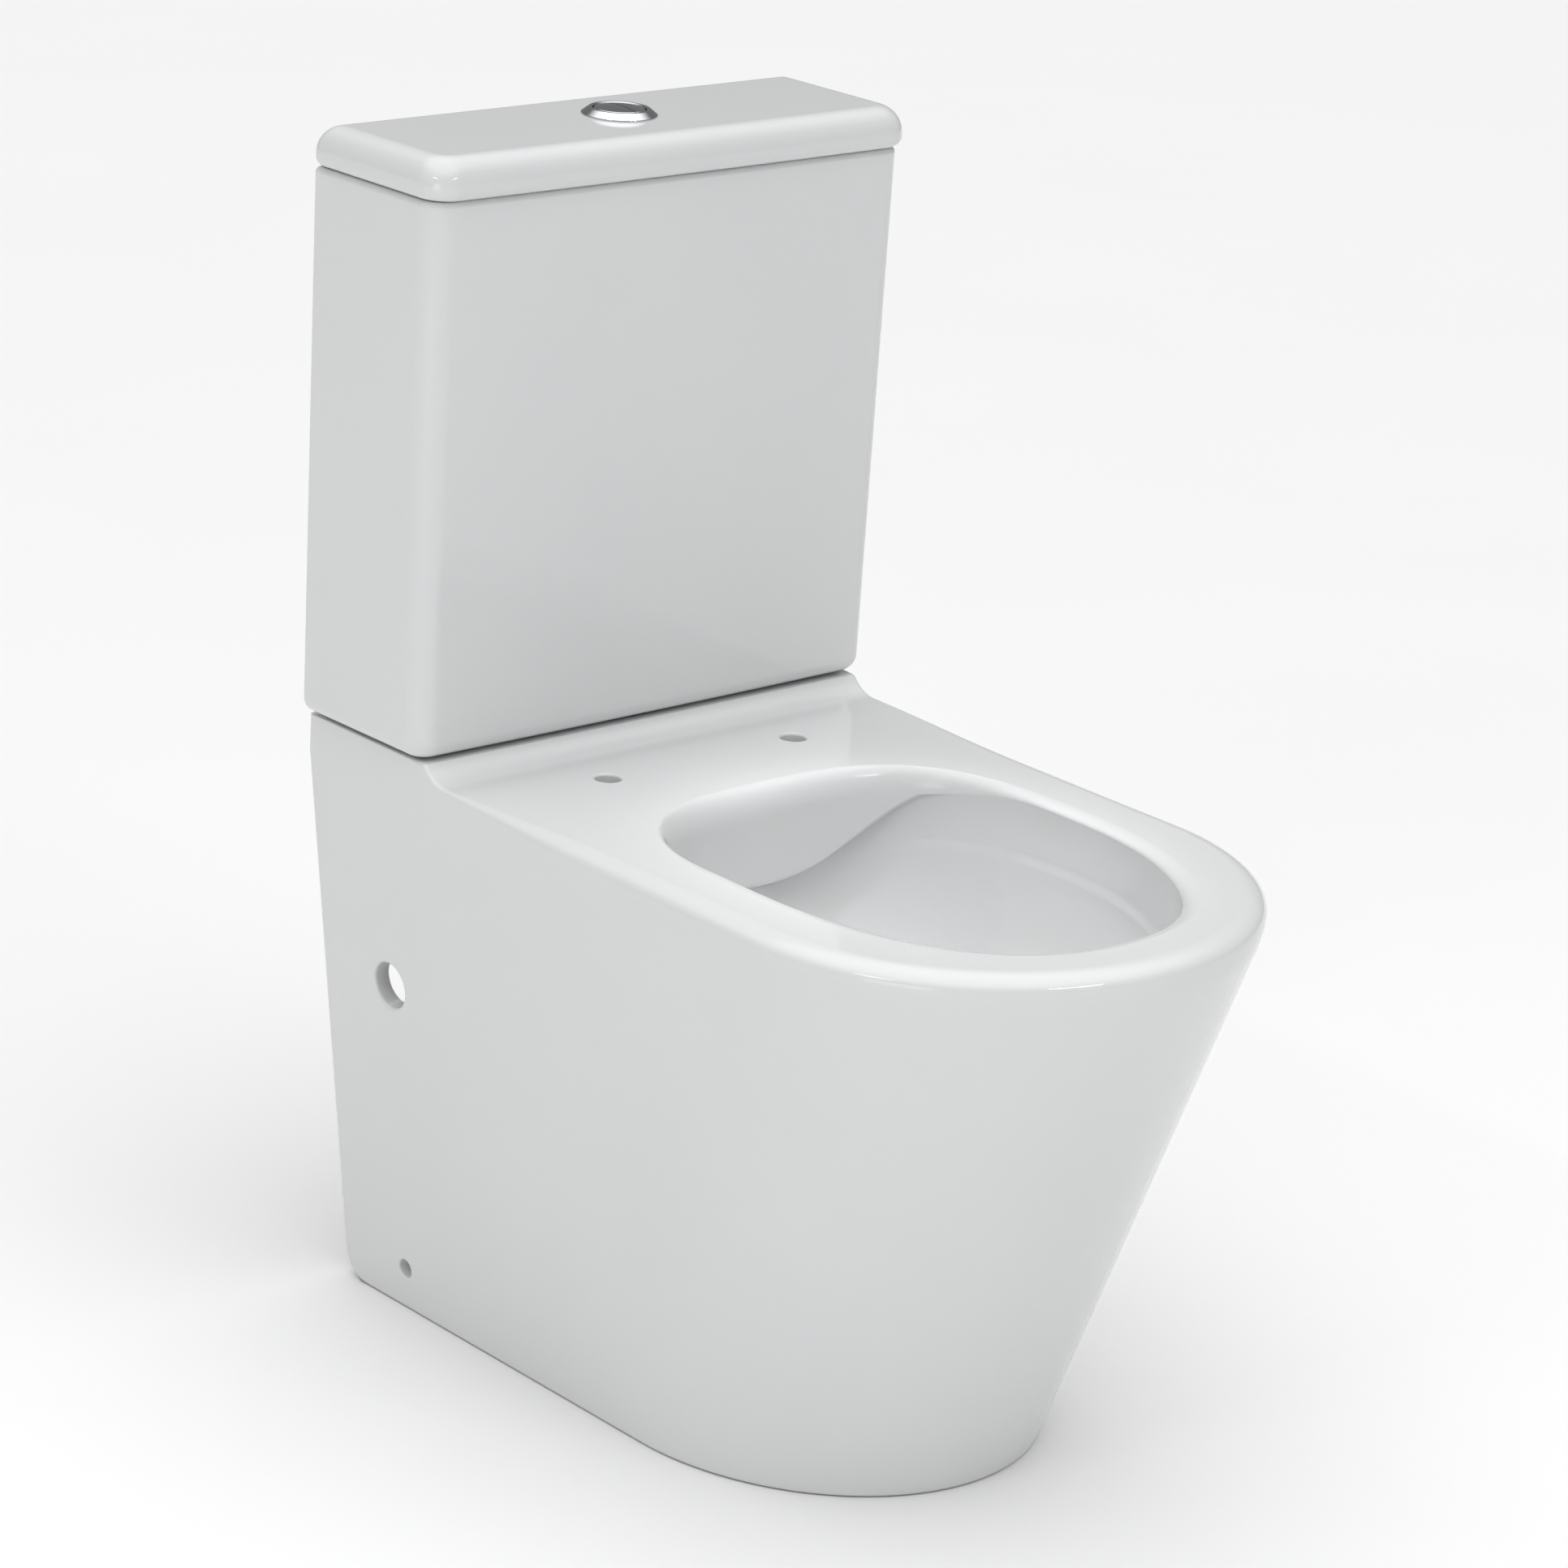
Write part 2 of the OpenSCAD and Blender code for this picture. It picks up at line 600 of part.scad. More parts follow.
module button_barrel() color(white_plastic) at_valve() {
    tube(barrel_r, barrel_in, barrel_floor, lid_top);
    difference() {
        rod(barrel_r, barrel_floor, barrel_floor + 2);
        for (s = [-1, 1]) translate([s * rod_x, -s * rod_y, 0])
            rod(rod_d / 2 + run_gap, barrel_floor - past, barrel_floor + 2 + past);
    }
}

module button_nut() color(white_plastic) at_valve() hex_nut(2 * barrel_r + 13, barrel_r, lid_under - 7, lid_under);

// Half of the domed button, on the side given by s
module button_piece(s) at_valve() intersection() {
    rotate_extrude() polygon([[0, button_under], [button_r, button_under], [button_r, lid_top + 3.4],
        [button_r - 1.2, lid_top + 4.6], [10, lid_top + 5.6], [0, lid_top + 6]]);
    slab(s > 0 ? 0.3 : -20, s > 0 ? 20 : -0.3, -20, 20, button_under - 1, lid_top + 8);
}

module button_full() color(chrome_metal) button_piece(1);
module button_half() color(chrome_metal) button_piece(-1);

module push_rod(s) at_valve() translate([s * rod_x, -s * rod_y, 0]) rod(rod_d / 2, rod_bottom, button_under);
module push_rod_full() color(white_plastic) push_rod(1);
module push_rod_half() color(white_plastic) push_rod(-1);

module button_spring(s) at_valve() translate([s * rod_x, -s * rod_y, 0])
    tube(4.8, 3.6, barrel_floor + 2, button_under);
module spring_full() color(steel_metal) button_spring(1);
module spring_half() color(steel_metal) button_spring(-1);

// ---------- fill valve ----------

column_r = 12;
// The refill tube stands in front of the column, clear of the float's guide ring
refill_y = -(column_r + 9.6);
thread_r = inlet_d / 2 + 1.5;
inlet_length = 25;
head_r = 22;
head_z = floor_z + 215;
head_h = 28;
float_x = -52;
fill_pin_z = head_z + head_h + 8;
fill_pin_x = -8;
fill_tilt = 20;

module fill_valve_shank() color(white_plastic) at_fill() {
    tube(inlet_d / 2, 6, tail_bottom, tail_bottom + inlet_length);
    tube(thread_r, 6, tail_bottom + inlet_length - eps, floor_z + 4);
    tube(18, 6, floor_z + 3, floor_z + 8);
    tube(column_r, 6, floor_z + 7, head_z);
}

module fill_valve_washer() color(black_rubber) at_fill() tube(18, thread_r, floor_z, floor_z + 3);

module fill_valve_backnut() color(white_plastic) at_fill() hex_nut(2 * thread_r + 9, thread_r, tank_z - 11, tank_z);

module fill_valve_head() color(blue_plastic) at_fill() {
    rod(head_r, head_z, head_z + head_h);
    slab(-6, 6, refill_y - 6, 4 - head_r, head_z, head_z + 8);
    for (s = [-1, 1]) difference() {
        slab(fill_pin_x - 5, fill_pin_x + 5, s * 8 - 2, s * 8 + 2, head_z + head_h - eps, fill_pin_z + 5);
        translate([fill_pin_x, 15, fill_pin_z]) rotate([90, 0, 0]) cylinder(r = 2, h = 30);
    }
}

module fill_lever_pin() color(steel_metal) at_fill() translate([fill_pin_x, 10, fill_pin_z]) rotate([90, 0, 0])
    cylinder(r = 2, h = 20);

// Arm that the float works: it hangs down when the cistern is empty
module fill_valve_lever() color(white_plastic) at_fill() translate([fill_pin_x, 0, fill_pin_z])
    rotate([0, -fill_tilt, 0]) difference() {
        union() {
            slab(float_x - fill_pin_x - 11, 0, -5, 5, -2.5, 2.5);
            rotate([90, 0, 0]) cylinder(r = 4.5, h = 10, center = true);
        }
        rotate([90, 0, 0]) cylinder(r = 2 + pin_gap, h = 14, center = true);
        slab(float_x - fill_pin_x - 7.5, float_x - fill_pin_x + 10, -3, 3, -6, 6);
    }

float_low = floor_z + 100;
module fill_valve_float() color(grey_plastic) at_fill() {
    translate([float_x, 0, 0]) rod(17, float_low, float_low + 50);
    tube(column_r + 4, column_r + run_gap, float_low, float_low + 12);
    difference() {
        slab(float_x + 10, -column_r - 1, -4, 4, float_low, float_low + 12);
        rod(column_r + 1, float_low - past, float_low + 12 + past);
    }
}

module float_adjust_rod() color(white_plastic) at_fill() translate([float_x, 0, 0]) {
    drop = (fill_pin_x - float_x) * sin(fill_tilt);
    rod(2, float_low + 50, fill_pin_z - drop + 18);
    for (z = [fill_pin_z - drop - 10, fill_pin_z - drop + 8]) rod(4.5, z, z + 2);
}

module refill_tube() color(grey_plastic) at_fill() translate([0, refill_y, 0])
    tube(5, 3.5, floor_z + 20, head_z);

pan();
cistern_tank();
cistern_lid();
cistern_pads();
coupling_gasket();
coupling_bolts();
coupling_bolt_seals();
coupling_washers();
coupling_wing_nuts();
flush_valve_base();
flush_valve_tail_washer();
flush_valve_backnut();
flush_valve_cage();
lever_pin();
overflow_tube();
flush_valve_seal();
valve_float();
half_flush_float();
half_float_rod();
full_flush_lever();
half_flush_lever();
button_bezel();
button_barrel();
button_nut();
button_full();
button_half();
push_rod_full();
push_rod_half();
spring_full();
spring_half();
fill_valve_shank();
fill_valve_washer();
fill_valve_backnut();
fill_valve_head();
fill_valve_lever();
fill_lever_pin();
fill_valve_float();
float_adjust_rod();
refill_tube();
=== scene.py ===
"""Looks of a close coupled toilet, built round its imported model.

Sizes are in millimetres until a mesh is made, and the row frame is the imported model's:
+Z is up, the front faces -Y, and +X is on the right seen from the front.
"d" is a distance from the wall, counted towards the front.
"""

from __future__ import annotations

import json
import logging
import math
from dataclasses import dataclass
from enum import Enum
from typing import Any, Sequence

import bpy
import numpy as np
from mathutils import Matrix, Vector

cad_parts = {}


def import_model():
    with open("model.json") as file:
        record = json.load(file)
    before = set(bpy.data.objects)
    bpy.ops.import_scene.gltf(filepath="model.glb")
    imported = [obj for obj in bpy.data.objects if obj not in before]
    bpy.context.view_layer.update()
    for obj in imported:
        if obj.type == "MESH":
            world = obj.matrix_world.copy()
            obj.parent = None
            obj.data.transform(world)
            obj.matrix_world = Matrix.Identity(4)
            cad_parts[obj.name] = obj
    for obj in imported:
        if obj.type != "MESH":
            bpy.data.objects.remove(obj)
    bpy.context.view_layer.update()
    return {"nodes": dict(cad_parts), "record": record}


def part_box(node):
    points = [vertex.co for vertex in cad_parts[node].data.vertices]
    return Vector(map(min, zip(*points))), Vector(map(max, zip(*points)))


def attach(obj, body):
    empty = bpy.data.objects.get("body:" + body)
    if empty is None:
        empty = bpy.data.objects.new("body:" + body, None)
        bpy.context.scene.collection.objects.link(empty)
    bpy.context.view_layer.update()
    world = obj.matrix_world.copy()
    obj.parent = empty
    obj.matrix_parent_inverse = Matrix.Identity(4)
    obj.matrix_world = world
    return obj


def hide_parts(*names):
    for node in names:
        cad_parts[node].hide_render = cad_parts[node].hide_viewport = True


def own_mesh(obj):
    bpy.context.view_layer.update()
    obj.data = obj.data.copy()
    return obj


LOG = logging.getLogger("toilet")
MM = 0.001
# Distance of the flush valve, the coupling bolts and the button from the wall
VALVE_D = 64.0
# Distance of the coupling bolts and of the water inlet from the centre line
BOLT_X = 75
INLET_X = 130
BOLT_HOLE_R = 5.5


class Cut(Enum):
    """How one solid works on another."""

    TAKE = "DIFFERENCE"
    JOIN = "UNION"
    KEEP = "INTERSECT"


# ---------- colours and nodes ----------


def linear(code: str) -> tuple[float, float, float, float]:
    """Turns an sRGB hex colour to linear RGBA.

    Each channel c is c / 12.92 up to 0.04045, and ((c + 0.055) / 1.055) ** 2.4 above it.

    Args:
        code: Six hex digits.
    Returns:
        Linear red, green, blue and an alpha of one.
    """
    channels = [int(code[i : i + 2], 16) / 255 for i in (0, 2, 4)]
    red, green, blue = (
        c / 12.92 if c <= 0.04045 else ((c + 0.055) / 1.055) ** 2.4 for c in channels
    )
    return red, green, blue, 1.0


def add_node(
    tree: bpy.types.NodeTree,
    kind: str,
    settings: dict[str, Any] | None = None,
    links: dict[str | int, bpy.types.NodeSocket] | None = None,
    values: dict[str | int, Any] | None = None,
) -> bpy.types.Node:
    """Adds a node with its settings, its links and its constant values.

    Args:
        tree: The node tree to add to.
        kind: The node's class name.
        settings: The node's own properties.
        links: Input name or number to the socket that feeds it.
        values: Input name or number to its constant.
    Returns:
        The new node.
    """
    node = tree.nodes.new(kind)
    for name, value in (settings or {}).items():
        setattr(node, name, value)
    for name, value in (values or {}).items():
        node.inputs[name].default_value = value
    for name, socket in (links or {}).items():
        tree.links.new(socket, node.inputs[name])
    return node


@dataclass(frozen=True)
class Finish:
    """A real finish: its name, two colours that it wanders between, and its gloss.

    The colour is a mix of two near shades by a slow noise, the roughness moves between two values
    by a second noise, and the bump is a noise whose scale is one over its real size.
    """

    title: str
    shade: str
    shade_far: str
    roughness: tuple[float, float]
    drift_mm: float = 120.0
    grain_mm: float = 1.2
    grain_depth_mm: float = 0.01
    metallic: float = 0.0
    ior: float = 1.5
    coat: float = 0.0
    coat_roughness: float = 0.03
    detail: float = 3.0

    def material(self) -> bpy.types.Material:
        """Builds the material, or returns it if it is there already."""
        known = bpy.data.materials.get(self.title)
        if known:
            return known
        made = bpy.data.materials.new(self.title)
        made.use_nodes = True
        tree = made.node_tree
        tree.nodes.clear()
        place = add_node(tree, "ShaderNodeTexCoord").outputs["Object"]
        drift = add_node(
            tree, "ShaderNodeTexNoise", links={"Vector": place},
            values={"Scale": 1 / (self.drift_mm * MM), "Detail": 2.0, "Roughness": 0.5},
        )
        grain = add_node(
            tree, "ShaderNodeTexNoise", links={"Vector": place},
            values={"Scale": 1 / (self.grain_mm * MM), "Detail": self.detail, "Roughness": 0.55},
        )
        colour = add_node(
            tree, "ShaderNodeMix", {"data_type": "RGBA"},
            links={"Factor": drift.outputs["Fac"]},
            values={6: linear(self.shade), 7: linear(self.shade_far)},
        )
        gloss = add_node(
            tree, "ShaderNodeMapRange", links={"Value": drift.outputs["Fac"]},
            values={
                "From Min": 0.3, "From Max": 0.7, "To Min": self.roughness[0], "To Max": self.roughness[1],
            },
        )
        bump = add_node(
            tree, "ShaderNodeBump", links={"Height": grain.outputs["Fac"]},
            values={"Strength": 1.0, "Distance": self.grain_depth_mm * MM},
        )
        values: dict[str | int, Any] = {"Metallic": self.metallic}
        if self.metallic < 1:
            values["IOR"] = self.ior
        if self.coat:
            values |= {"Coat Weight": self.coat, "Coat Roughness": self.coat_roughness, "Coat IOR": 1.5}
        shader = add_node(
            tree, "ShaderNodeBsdfPrincipled",
            links={
                "Base Color": colour.outputs[2], "Roughness": gloss.outputs[0], "Normal": bump.outputs[0],
            },
            values=values,
        )
        add_node(tree, "ShaderNodeOutputMaterial", links={"Surface": shader.outputs[0]})
        return made


# Vitreous china under a fired clear glaze: milky white, mirror-like, with a very slow ripple
CHINA = Finish(
    "vitreous_china_fired_glaze", "dfe0e0", "dadbdc", (0.04, 0.07), drift_mm=160, grain_mm=38,
    grain_depth_mm=0.05, ior=1.52, detail=1.0,
)
# The same body left unglazed inside the skirt: dull and porous, its colour darkened to a grey brown as
# painted shade in the hollow skirt
BISCUIT_WITH_PAINTED_SHADE = Finish("bare_clay_body_painted_shade", "857e75", "756e66", (0.75, 0.9), 30, 1.2, 0.05)
# Injection moulded polypropylene: off-white, a satin skin with a fine spark-eroded grain
WHITE_PLASTIC = Finish("moulded_polypropylene_white", "eceeea", "e3e6e1", (0.3, 0.4), 40, 0.8, 0.02)
# Moulded ABS in a cool grey, a little glossier on its flat faces
GREY_PLASTIC = Finish("moulded_abs_grey", "a7abae", "9b9fa3", (0.28, 0.38), 40, 0.8, 0.02)
# Moulded acetal dyed blue, waxy and satin
BLUE_PLASTIC = Finish("moulded_acetal_blue", "3c6fa6", "33649a", (0.26, 0.36), 40, 0.8, 0.02, ior=1.48)
# Compression moulded EPDM rubber: near black, dull, with a dusty grain
RUBBER = Finish("moulded_epdm_rubber", "1c1c1d", "29292a", (0.65, 0.8), 12, 0.5, 0.03)
# Turned brass, left bright with a light tarnish
BRASS = Finish("turned_brass", "c9a55c", "b08d4a", (0.22, 0.38), 10, 0.6, 0.008, metallic=1.0)
# Chromium plate over polished ABS: a dark mirror with hardly any ripple
CHROME = Finish("polished_chromium_plate", "d4d6d9", "cdd0d3", (0.03, 0.06), 30, 9, 0.004, metallic=1.0)
# Drawn stainless spring wire and pins: fine lengthwise drawing marks
STEEL = Finish("drawn_stainless_steel", "b4b6b8", "a6a8aa", (0.18, 0.3), 8, 0.4, 0.006, metallic=1.0)
# Matt painted studio sweep, a paper-like grain
SWEEP = Finish("matt_painted_studio_sweep", "f4f4f4", "f0f0f0", (0.8, 0.9), 400, 3, 0.02)

SLOT_FINISH = {
    "white_china": CHINA, "white_plastic": WHITE_PLASTIC, "grey_plastic": GREY_PLASTIC,
    "blue_plastic": BLUE_PLASTIC, "black_rubber": RUBBER, "chrome_plate": CHROME, "brass": BRASS,
    "stainless_steel": STEEL,
}


# ---------- meshes ----------


def mesh_piece(name: str, points: np.ndarray, faces: Sequence[Sequence[int]]) -> bpy.types.Object:
    """Makes an object at the origin out of points and faces.

    Args:
        name: Name of the object and its mesh.
        points: Points in millimetres, whose last axis is x, y, z.
        faces: Point numbers of each face.
    Returns:
        The new object, linked to the scene.
    """
    mesh = bpy.data.meshes.new(name)
    mesh.from_pydata((points.reshape(-1, 3) * MM).tolist(), [], [list(map(int, f)) for f in faces])
    mesh.update()
    made = bpy.data.objects.new(name, mesh)
    bpy.context.scene.collection.objects.link(made)
    return made


def grid_faces(rows: int, cols: int, wrap_cols: bool, wrap_rows: bool = False) -> list[list[int]]:
    """Quads of a grid whose point (row, col) has the number row * cols + col.

    Args:
        rows: How many rows of points.
        cols: How many points in a row.
        wrap_cols: Whether the last point of a row joins the first.
        wrap_rows: Whether the last row joins the first.
    Returns:
        Four point numbers for each quad.
    """
    index = np.arange(rows * cols).reshape(rows, cols)
    if wrap_cols:
        index = np.concatenate([index, index[:, :1]], axis=1)
    if wrap_rows:
        index = np.concatenate([index, index[:1]], axis=0)
    quads = np.stack([index[:-1, :-1], index[:-1, 1:], index[1:, 1:], index[1:, :-1]], axis=-1)
    return quads.reshape(-1, 4).tolist()


def loft(name: str, rings: np.ndarray) -> bpy.types.Object:
    """A closed solid through rings, with a flat face at each end.

    Args:
        name: Name of the object.
        rings: Points in millimetres as (rows, points, 3).
    Returns:
        The solid, with its faces outwards.
    """
    rows, cols = rings.shape[:2]
    faces = grid_faces(rows, cols, True)
    faces.append(list(range(cols))[::-1])
    faces.append(list(range((rows - 1) * cols, rows * cols)))
    made = mesh_piece(name, rings, faces)
    outward(made)
    return made


def outward(piece: bpy.types.Object) -> None:
    """Turns a closed mesh right side out: its signed volume is the sum of its corner tetrahedra."""
    mesh = piece.data
    mesh.calc_loop_triangles()
    points = np.zeros(len(mesh.vertices) * 3)
    mesh.vertices.foreach_get("co", points)
    corners = np.zeros(len(mesh.loop_triangles) * 3, dtype=np.int32)
    mesh.loop_triangles.foreach_get("vertices", corners)
    a, b, c = points.reshape(-1, 3)[corners.reshape(-1, 3)].transpose(1, 0, 2)
    if float(np.einsum("ij,ij->", a, np.cross(b, c))) < 0:
        mesh.flip_normals()


def apply_modifiers(piece: bpy.types.Object) -> None:
    """Bakes a piece's modifiers into its mesh."""
    graph = bpy.context.evaluated_depsgraph_get()
    baked = bpy.data.meshes.new_from_object(piece.evaluated_get(graph), depsgraph=graph)
    piece.modifiers.clear()
    piece.data = baked


def cut(target: bpy.types.Object, tool: bpy.types.Object, how: Cut = Cut.TAKE) -> bpy.types.Object:
    """Works one closed solid on another, and throws the tool away.

    Args:
        target: The solid that is kept.
        tool: The solid that works on it.
        how: Whether the tool is taken away, joined or kept in common.
    Returns:
        The target.
    """
    modifier = target.modifiers.new("cut", "BOOLEAN")
    modifier.operation = how.value
    modifier.solver = "MANIFOLD"
    modifier.object = tool
    bpy.context.view_layer.update()
    apply_modifiers(target)
    bpy.data.objects.remove(tool)
    return target


def smooth(piece: bpy.types.Object, angle: float = 38.0) -> None:
    """Shades smooth up to an angle between faces, weighting each face by its area."""
    piece.data.shade_smooth()
    piece.data.set_sharp_from_angle(angle=math.radians(angle))
    modifier = piece.modifiers.new("weight", "WEIGHTED_NORMAL")
    modifier.keep_sharp = True
    modifier.weight = 60
    bpy.context.view_layer.update()
    apply_modifiers(piece)


def dress(piece: bpy.types.Object, finish: Finish) -> None:
    """Gives a piece its finish, unless it already has its own."""
    if not any(piece.data.materials):
        piece.data.materials.clear()
        piece.data.materials.append(finish.material())


def lathe(
    name: str, profile: Sequence[tuple[float, float]], axis: tuple[float, float], steps: int = 96
) -> bpy.types.Object:
    """Turns a closed profile of (radius, height) round an upright axis.

    x = axis_x + r cos t, y = axis_y + r sin t, z = height, with t once round and the profile closed.

    Args:
        name: Name of the object.
        profile: Points of radius and height.
        axis: Place x, y of the axis.
        steps: How many points once round.
    Returns:
        The turned solid.
    """
    shape = np.array(profile, float)
    turn = np.linspace(0, 2 * np.pi, steps, endpoint=False)
    points = np.empty((len(shape), steps, 3))
    points[..., 0] = axis[0] + np.outer(shape[:, 0], np.cos(turn))
    points[..., 1] = axis[1] + np.outer(shape[:, 0], np.sin(turn))
    points[..., 2] = shape[:, 1][:, None]
    made = mesh_piece(name, points, grid_faces(len(shape), steps, True, True))
    outward(made)
    return made


def drum(
    name: str, centre: Sequence[float], axis: Sequence[float], radii: Sequence[float],
    along: Sequence[float], steps: int = 64,
) -> bpy.types.Object:
    """A solid through circles set along an axis.

    Args:
        name: Name of the object.
        centre: Point that the places are measured from.
        axis: Direction of the axis.
        radii: Radius of each circle.
        along: Place of each circle along the axis.
        steps: How many points once round.
    Returns:
        The solid.
    """
    way = Vector(axis).normalized()
    turn = way.to_track_quat("Z", "Y").to_matrix()
    angle = np.linspace(0, 2 * np.pi, steps, endpoint=False)
    local = np.empty((len(radii), steps, 3))
    local[..., 0] = np.outer(radii, np.cos(angle))
    local[..., 1] = np.outer(radii, np.sin(angle))
    local[..., 2] = np.array(along, float)[:, None]
    return loft(name, local @ np.array(turn).T + np.array(centre, float))


def block(name: str, low: Sequence[float], high: Sequence[float]) -> bpy.types.Object:
    """A plain box, used as a cutting tool.

    Args:
        name: Name of the object.
        low: Lowest corner.
        high: Highest corner.
    Returns:
        The box.
    """
    x0, y0, z0 = low
    x1, y1, z1 = high
    ring = np.array([[x0, y0], [x1, y0], [x1, y1], [x0, y1]])
    rings = np.stack([np.column_stack([ring, np.full(4, z)]) for z in (z0, z1)])
    return loft(name, rings)


def quarter(steps: int) -> np.ndarray:
    """Angles from 0 to 90 degrees, in radians."""
    return np.linspace(0, np.pi / 2, steps)


def blend_step(value: np.ndarray, low: float, high: float) -> np.ndarray:
    """Smooth step: 3 t^2 - 2 t^3 of the share t of the way from low to high."""
    t = np.clip((value - low) / (high - low), 0, 1)
    return t * t * (3 - 2 * t)


# ---------- pan ----------


@dataclass
class Pan:
    """The skirted rimless pan. The fields are its sizes, in millimetres."""

    wall_y: float
    rim: float = 400.0
    platform: float = 411.0
    length: float = 621.0
    half: float = 186.5
    foot_half: float = 145.0
    foot_length: float = 488.0
    rim_nose: float = 179.0
    foot_nose: float = 165.0
    knee_r: float = 50.0
    edge_r: float = 11.0
    rear_r: tuple[float, float] = (3.0, 14.0)
    heel_r: float = 20.0
    sole_r: float = 2.5
    wall: float = 12.0
    deck_bottom: float = 384.0
    fillet_r: float = 28.0
    fillet_foot: float = 146.0
    open_half: float = 145.5
    open_back: float = 236.5
    open_front: float = 585.5
    open_mid: float = 390.0
    lip_in: float = 12.5
    bowl_wall: float = 11.0
    throat: float = 150.0
    sump: float = 62.0
    lip_drop: float = 70.0
    hood_t: float = 10.0
    outlet_z: float = 183.0
    outlet_inset: float = 25.0
    seat_d: float = 181.0
    seat_half: float = 80.0
    side_hole_d: float = 76.0
    flush_r: float = 34.0
    well_r: float = 52.0
    well_z: float = 391.0
    supply_hole_r: float = 22.0
    steps: int = 240

    # -- outside --

    def knee_angle(self, total: float) -> float:
        """Angle from upright of the straight part, for a total lean over the skirt's height."""
        height = self.rim - self.edge_r
        a = self.knee_r - total
        return math.atan2(height, a) - math.acos(self.knee_r / math.hypot(a, height))

    def lean(self, z: np.ndarray, total: float) -> np.ndarray:
        """How far the skirt has come in: an arc of the knee's radius, then a straight slope.

        Args:
            z: Heights.
            total: Lean over the skirt's whole height.
        Returns:
            The distance come in at each height.
        """
        depth = np.maximum(0, self.rim - self.edge_r - z)
        t = self.knee_angle(total)
        in_arc = np.minimum(depth, self.knee_r)
        bend = self.knee_r - np.sqrt(np.maximum(self.knee_r**2 - in_arc**2, 0))
        slope = self.knee_r * (1 - math.cos(t)) + (depth - self.knee_r * math.sin(t)) * math.tan(t)
        return np.where(depth < self.knee_r * math.sin(t), bend, slope)

    def outline(self, z: float, inset: float = 0.0, rear_in: float = 0.0) -> np.ndarray:
        """Plan of the outside at a height, from the right rear corner round the nose to the left one.

        Right half: an arc of the rear radius, the straight side, then an ellipse
        x = w cos t, d = length - nose + nose sin t; the left half is its mirror image.

        Args:
            z: Height of the plan.
            inset: How far the plan lies inside the outer face.
            rear_in: How far the rear lies from the wall.
        Returns:
            Points (n, 2) of x and d.
        """
        side = float(self.lean(np.array(z), self.half - self.foot_half))
        front = float(self.lean(np.array(z), self.length - self.foot_length))
        half = self.half - side - inset
        reach = self.length - front - inset
        nose = self.foot_nose + (self.rim_nose - self.foot_nose) * z / self.rim - inset
        top_r, foot_r = self.rear_r
        radius = max(top_r + (foot_r - top_r) * (1 - z / self.rim) - inset, 1.0)
        t = quarter(9)
        corner = np.column_stack([half - radius + radius * np.sin(t), rear_in + radius * (1 - np.cos(t))])
        start, end = 22.0, reach - nose
        near = np.concatenate([
            np.linspace(start, 104, 12), np.linspace(108, 156, 25), np.linspace(160, 0.999 * end, 40),
        ])
        near = near * (end / near[-1]) if near[-1] > end else near
        straight = np.column_stack([np.full(len(near), half), near])[:-1]
        t = quarter(61)
        front_arc = np.column_stack([half * np.cos(t), end + nose * np.sin(t)])
        right = np.concatenate([corner, straight, front_arc])
        left = right[-2::-1] * [-1, 1]
        return np.concatenate([right, left])

    def top_height(self, d: np.ndarray) -> np.ndarray:
        """Height of the top: the platform, a hollow fillet, then the flat rim.

        In the fillet z = rim + r - sqrt(r^2 - (foot - d)^2).
        """
        run = np.clip(self.fillet_foot - d, 0, self.fillet_r)
        hollow = self.rim + self.fillet_r - np.sqrt(self.fillet_r**2 - run**2)
        return np.minimum(hollow, self.platform)

    def edge_width(self, d: np.ndarray) -> np.ndarray:
        """Width of the outer edge's rounding: it starts beside the cistern and is full at the bowl."""
        beside_tank, beside_bowl = 2.2 * blend_step(d, 108, 126), 11.3 * blend_step(d, 130, 300)
        return 1.0 + beside_tank + beside_bowl + 1.5 * blend_step(d, 290, 420)

    def outside(self) -> bpy.types.Object:
        """The outside as one closed shell: foot, skirt, knee, rounded edge and top.

        Each row is a plan at one height. The edge's rows are a quarter ellipse carried round the plan's
        normal.
        """
        rows: list[np.ndarray] = []
        for t in quarter(5):
            z = self.sole_r * (1 - math.cos(t))
            rows.append(self.row(z, self.sole_r * (1 - math.sin(t))))
        knee_top = self.rim - self.edge_r
        knee_bottom = knee_top - self.knee_r * math.sin(self.knee_angle(self.length - self.foot_length))
        heel = self.heel_r * (1 - np.cos(np.linspace(0.5, np.pi / 2, 8)))
        skirt = np.linspace(28, knee_bottom, 22)
        for z in (*heel, *skirt, *np.linspace(knee_bottom, knee_top, 12)[1:]):
            rows.append(self.row(float(z), 0.0))
        plan = self.outline(self.rim - self.edge_r)
        along = np.roll(plan, -1, 0) - np.roll(plan, 1, 0)
        along[0], along[-1] = plan[1] - plan[0], plan[-1] - plan[-2]
        normal = np.column_stack([-along[:, 1], along[:, 0]])
        normal /= np.linalg.norm(normal, axis=1, keepdims=True)
        inward = normal * np.sign(np.sum(normal * (np.array([0, self.open_mid]) - plan), axis=1))[:, None]
        inward[np.abs(plan[:, 1]) < 4] = 0
        width = self.edge_width(plan[:, 1])
        drop = np.minimum(width * 0.75, self.edge_r - 0.5)
        top = self.top_height(plan[:, 1])
        for share in (0.4, 0.8):
            height = (self.rim - self.edge_r) * (1 - share) + (top - drop) * share
            rows.append(np.column_stack([plan[:, 0], self.wall_y - plan[:, 1], height]))
        for t in quarter(13):
            shifted = plan + inward * (width * (1 - math.cos(t)))[:, None]
            height = self.top_height(shifted[:, 1]) - drop * (1 - math.sin(t))
            rows.append(np.column_stack([shifted[:, 0], self.wall_y - shifted[:, 1], height]))
        rings = np.stack(rows)
        count, cols = rings.shape[:2]
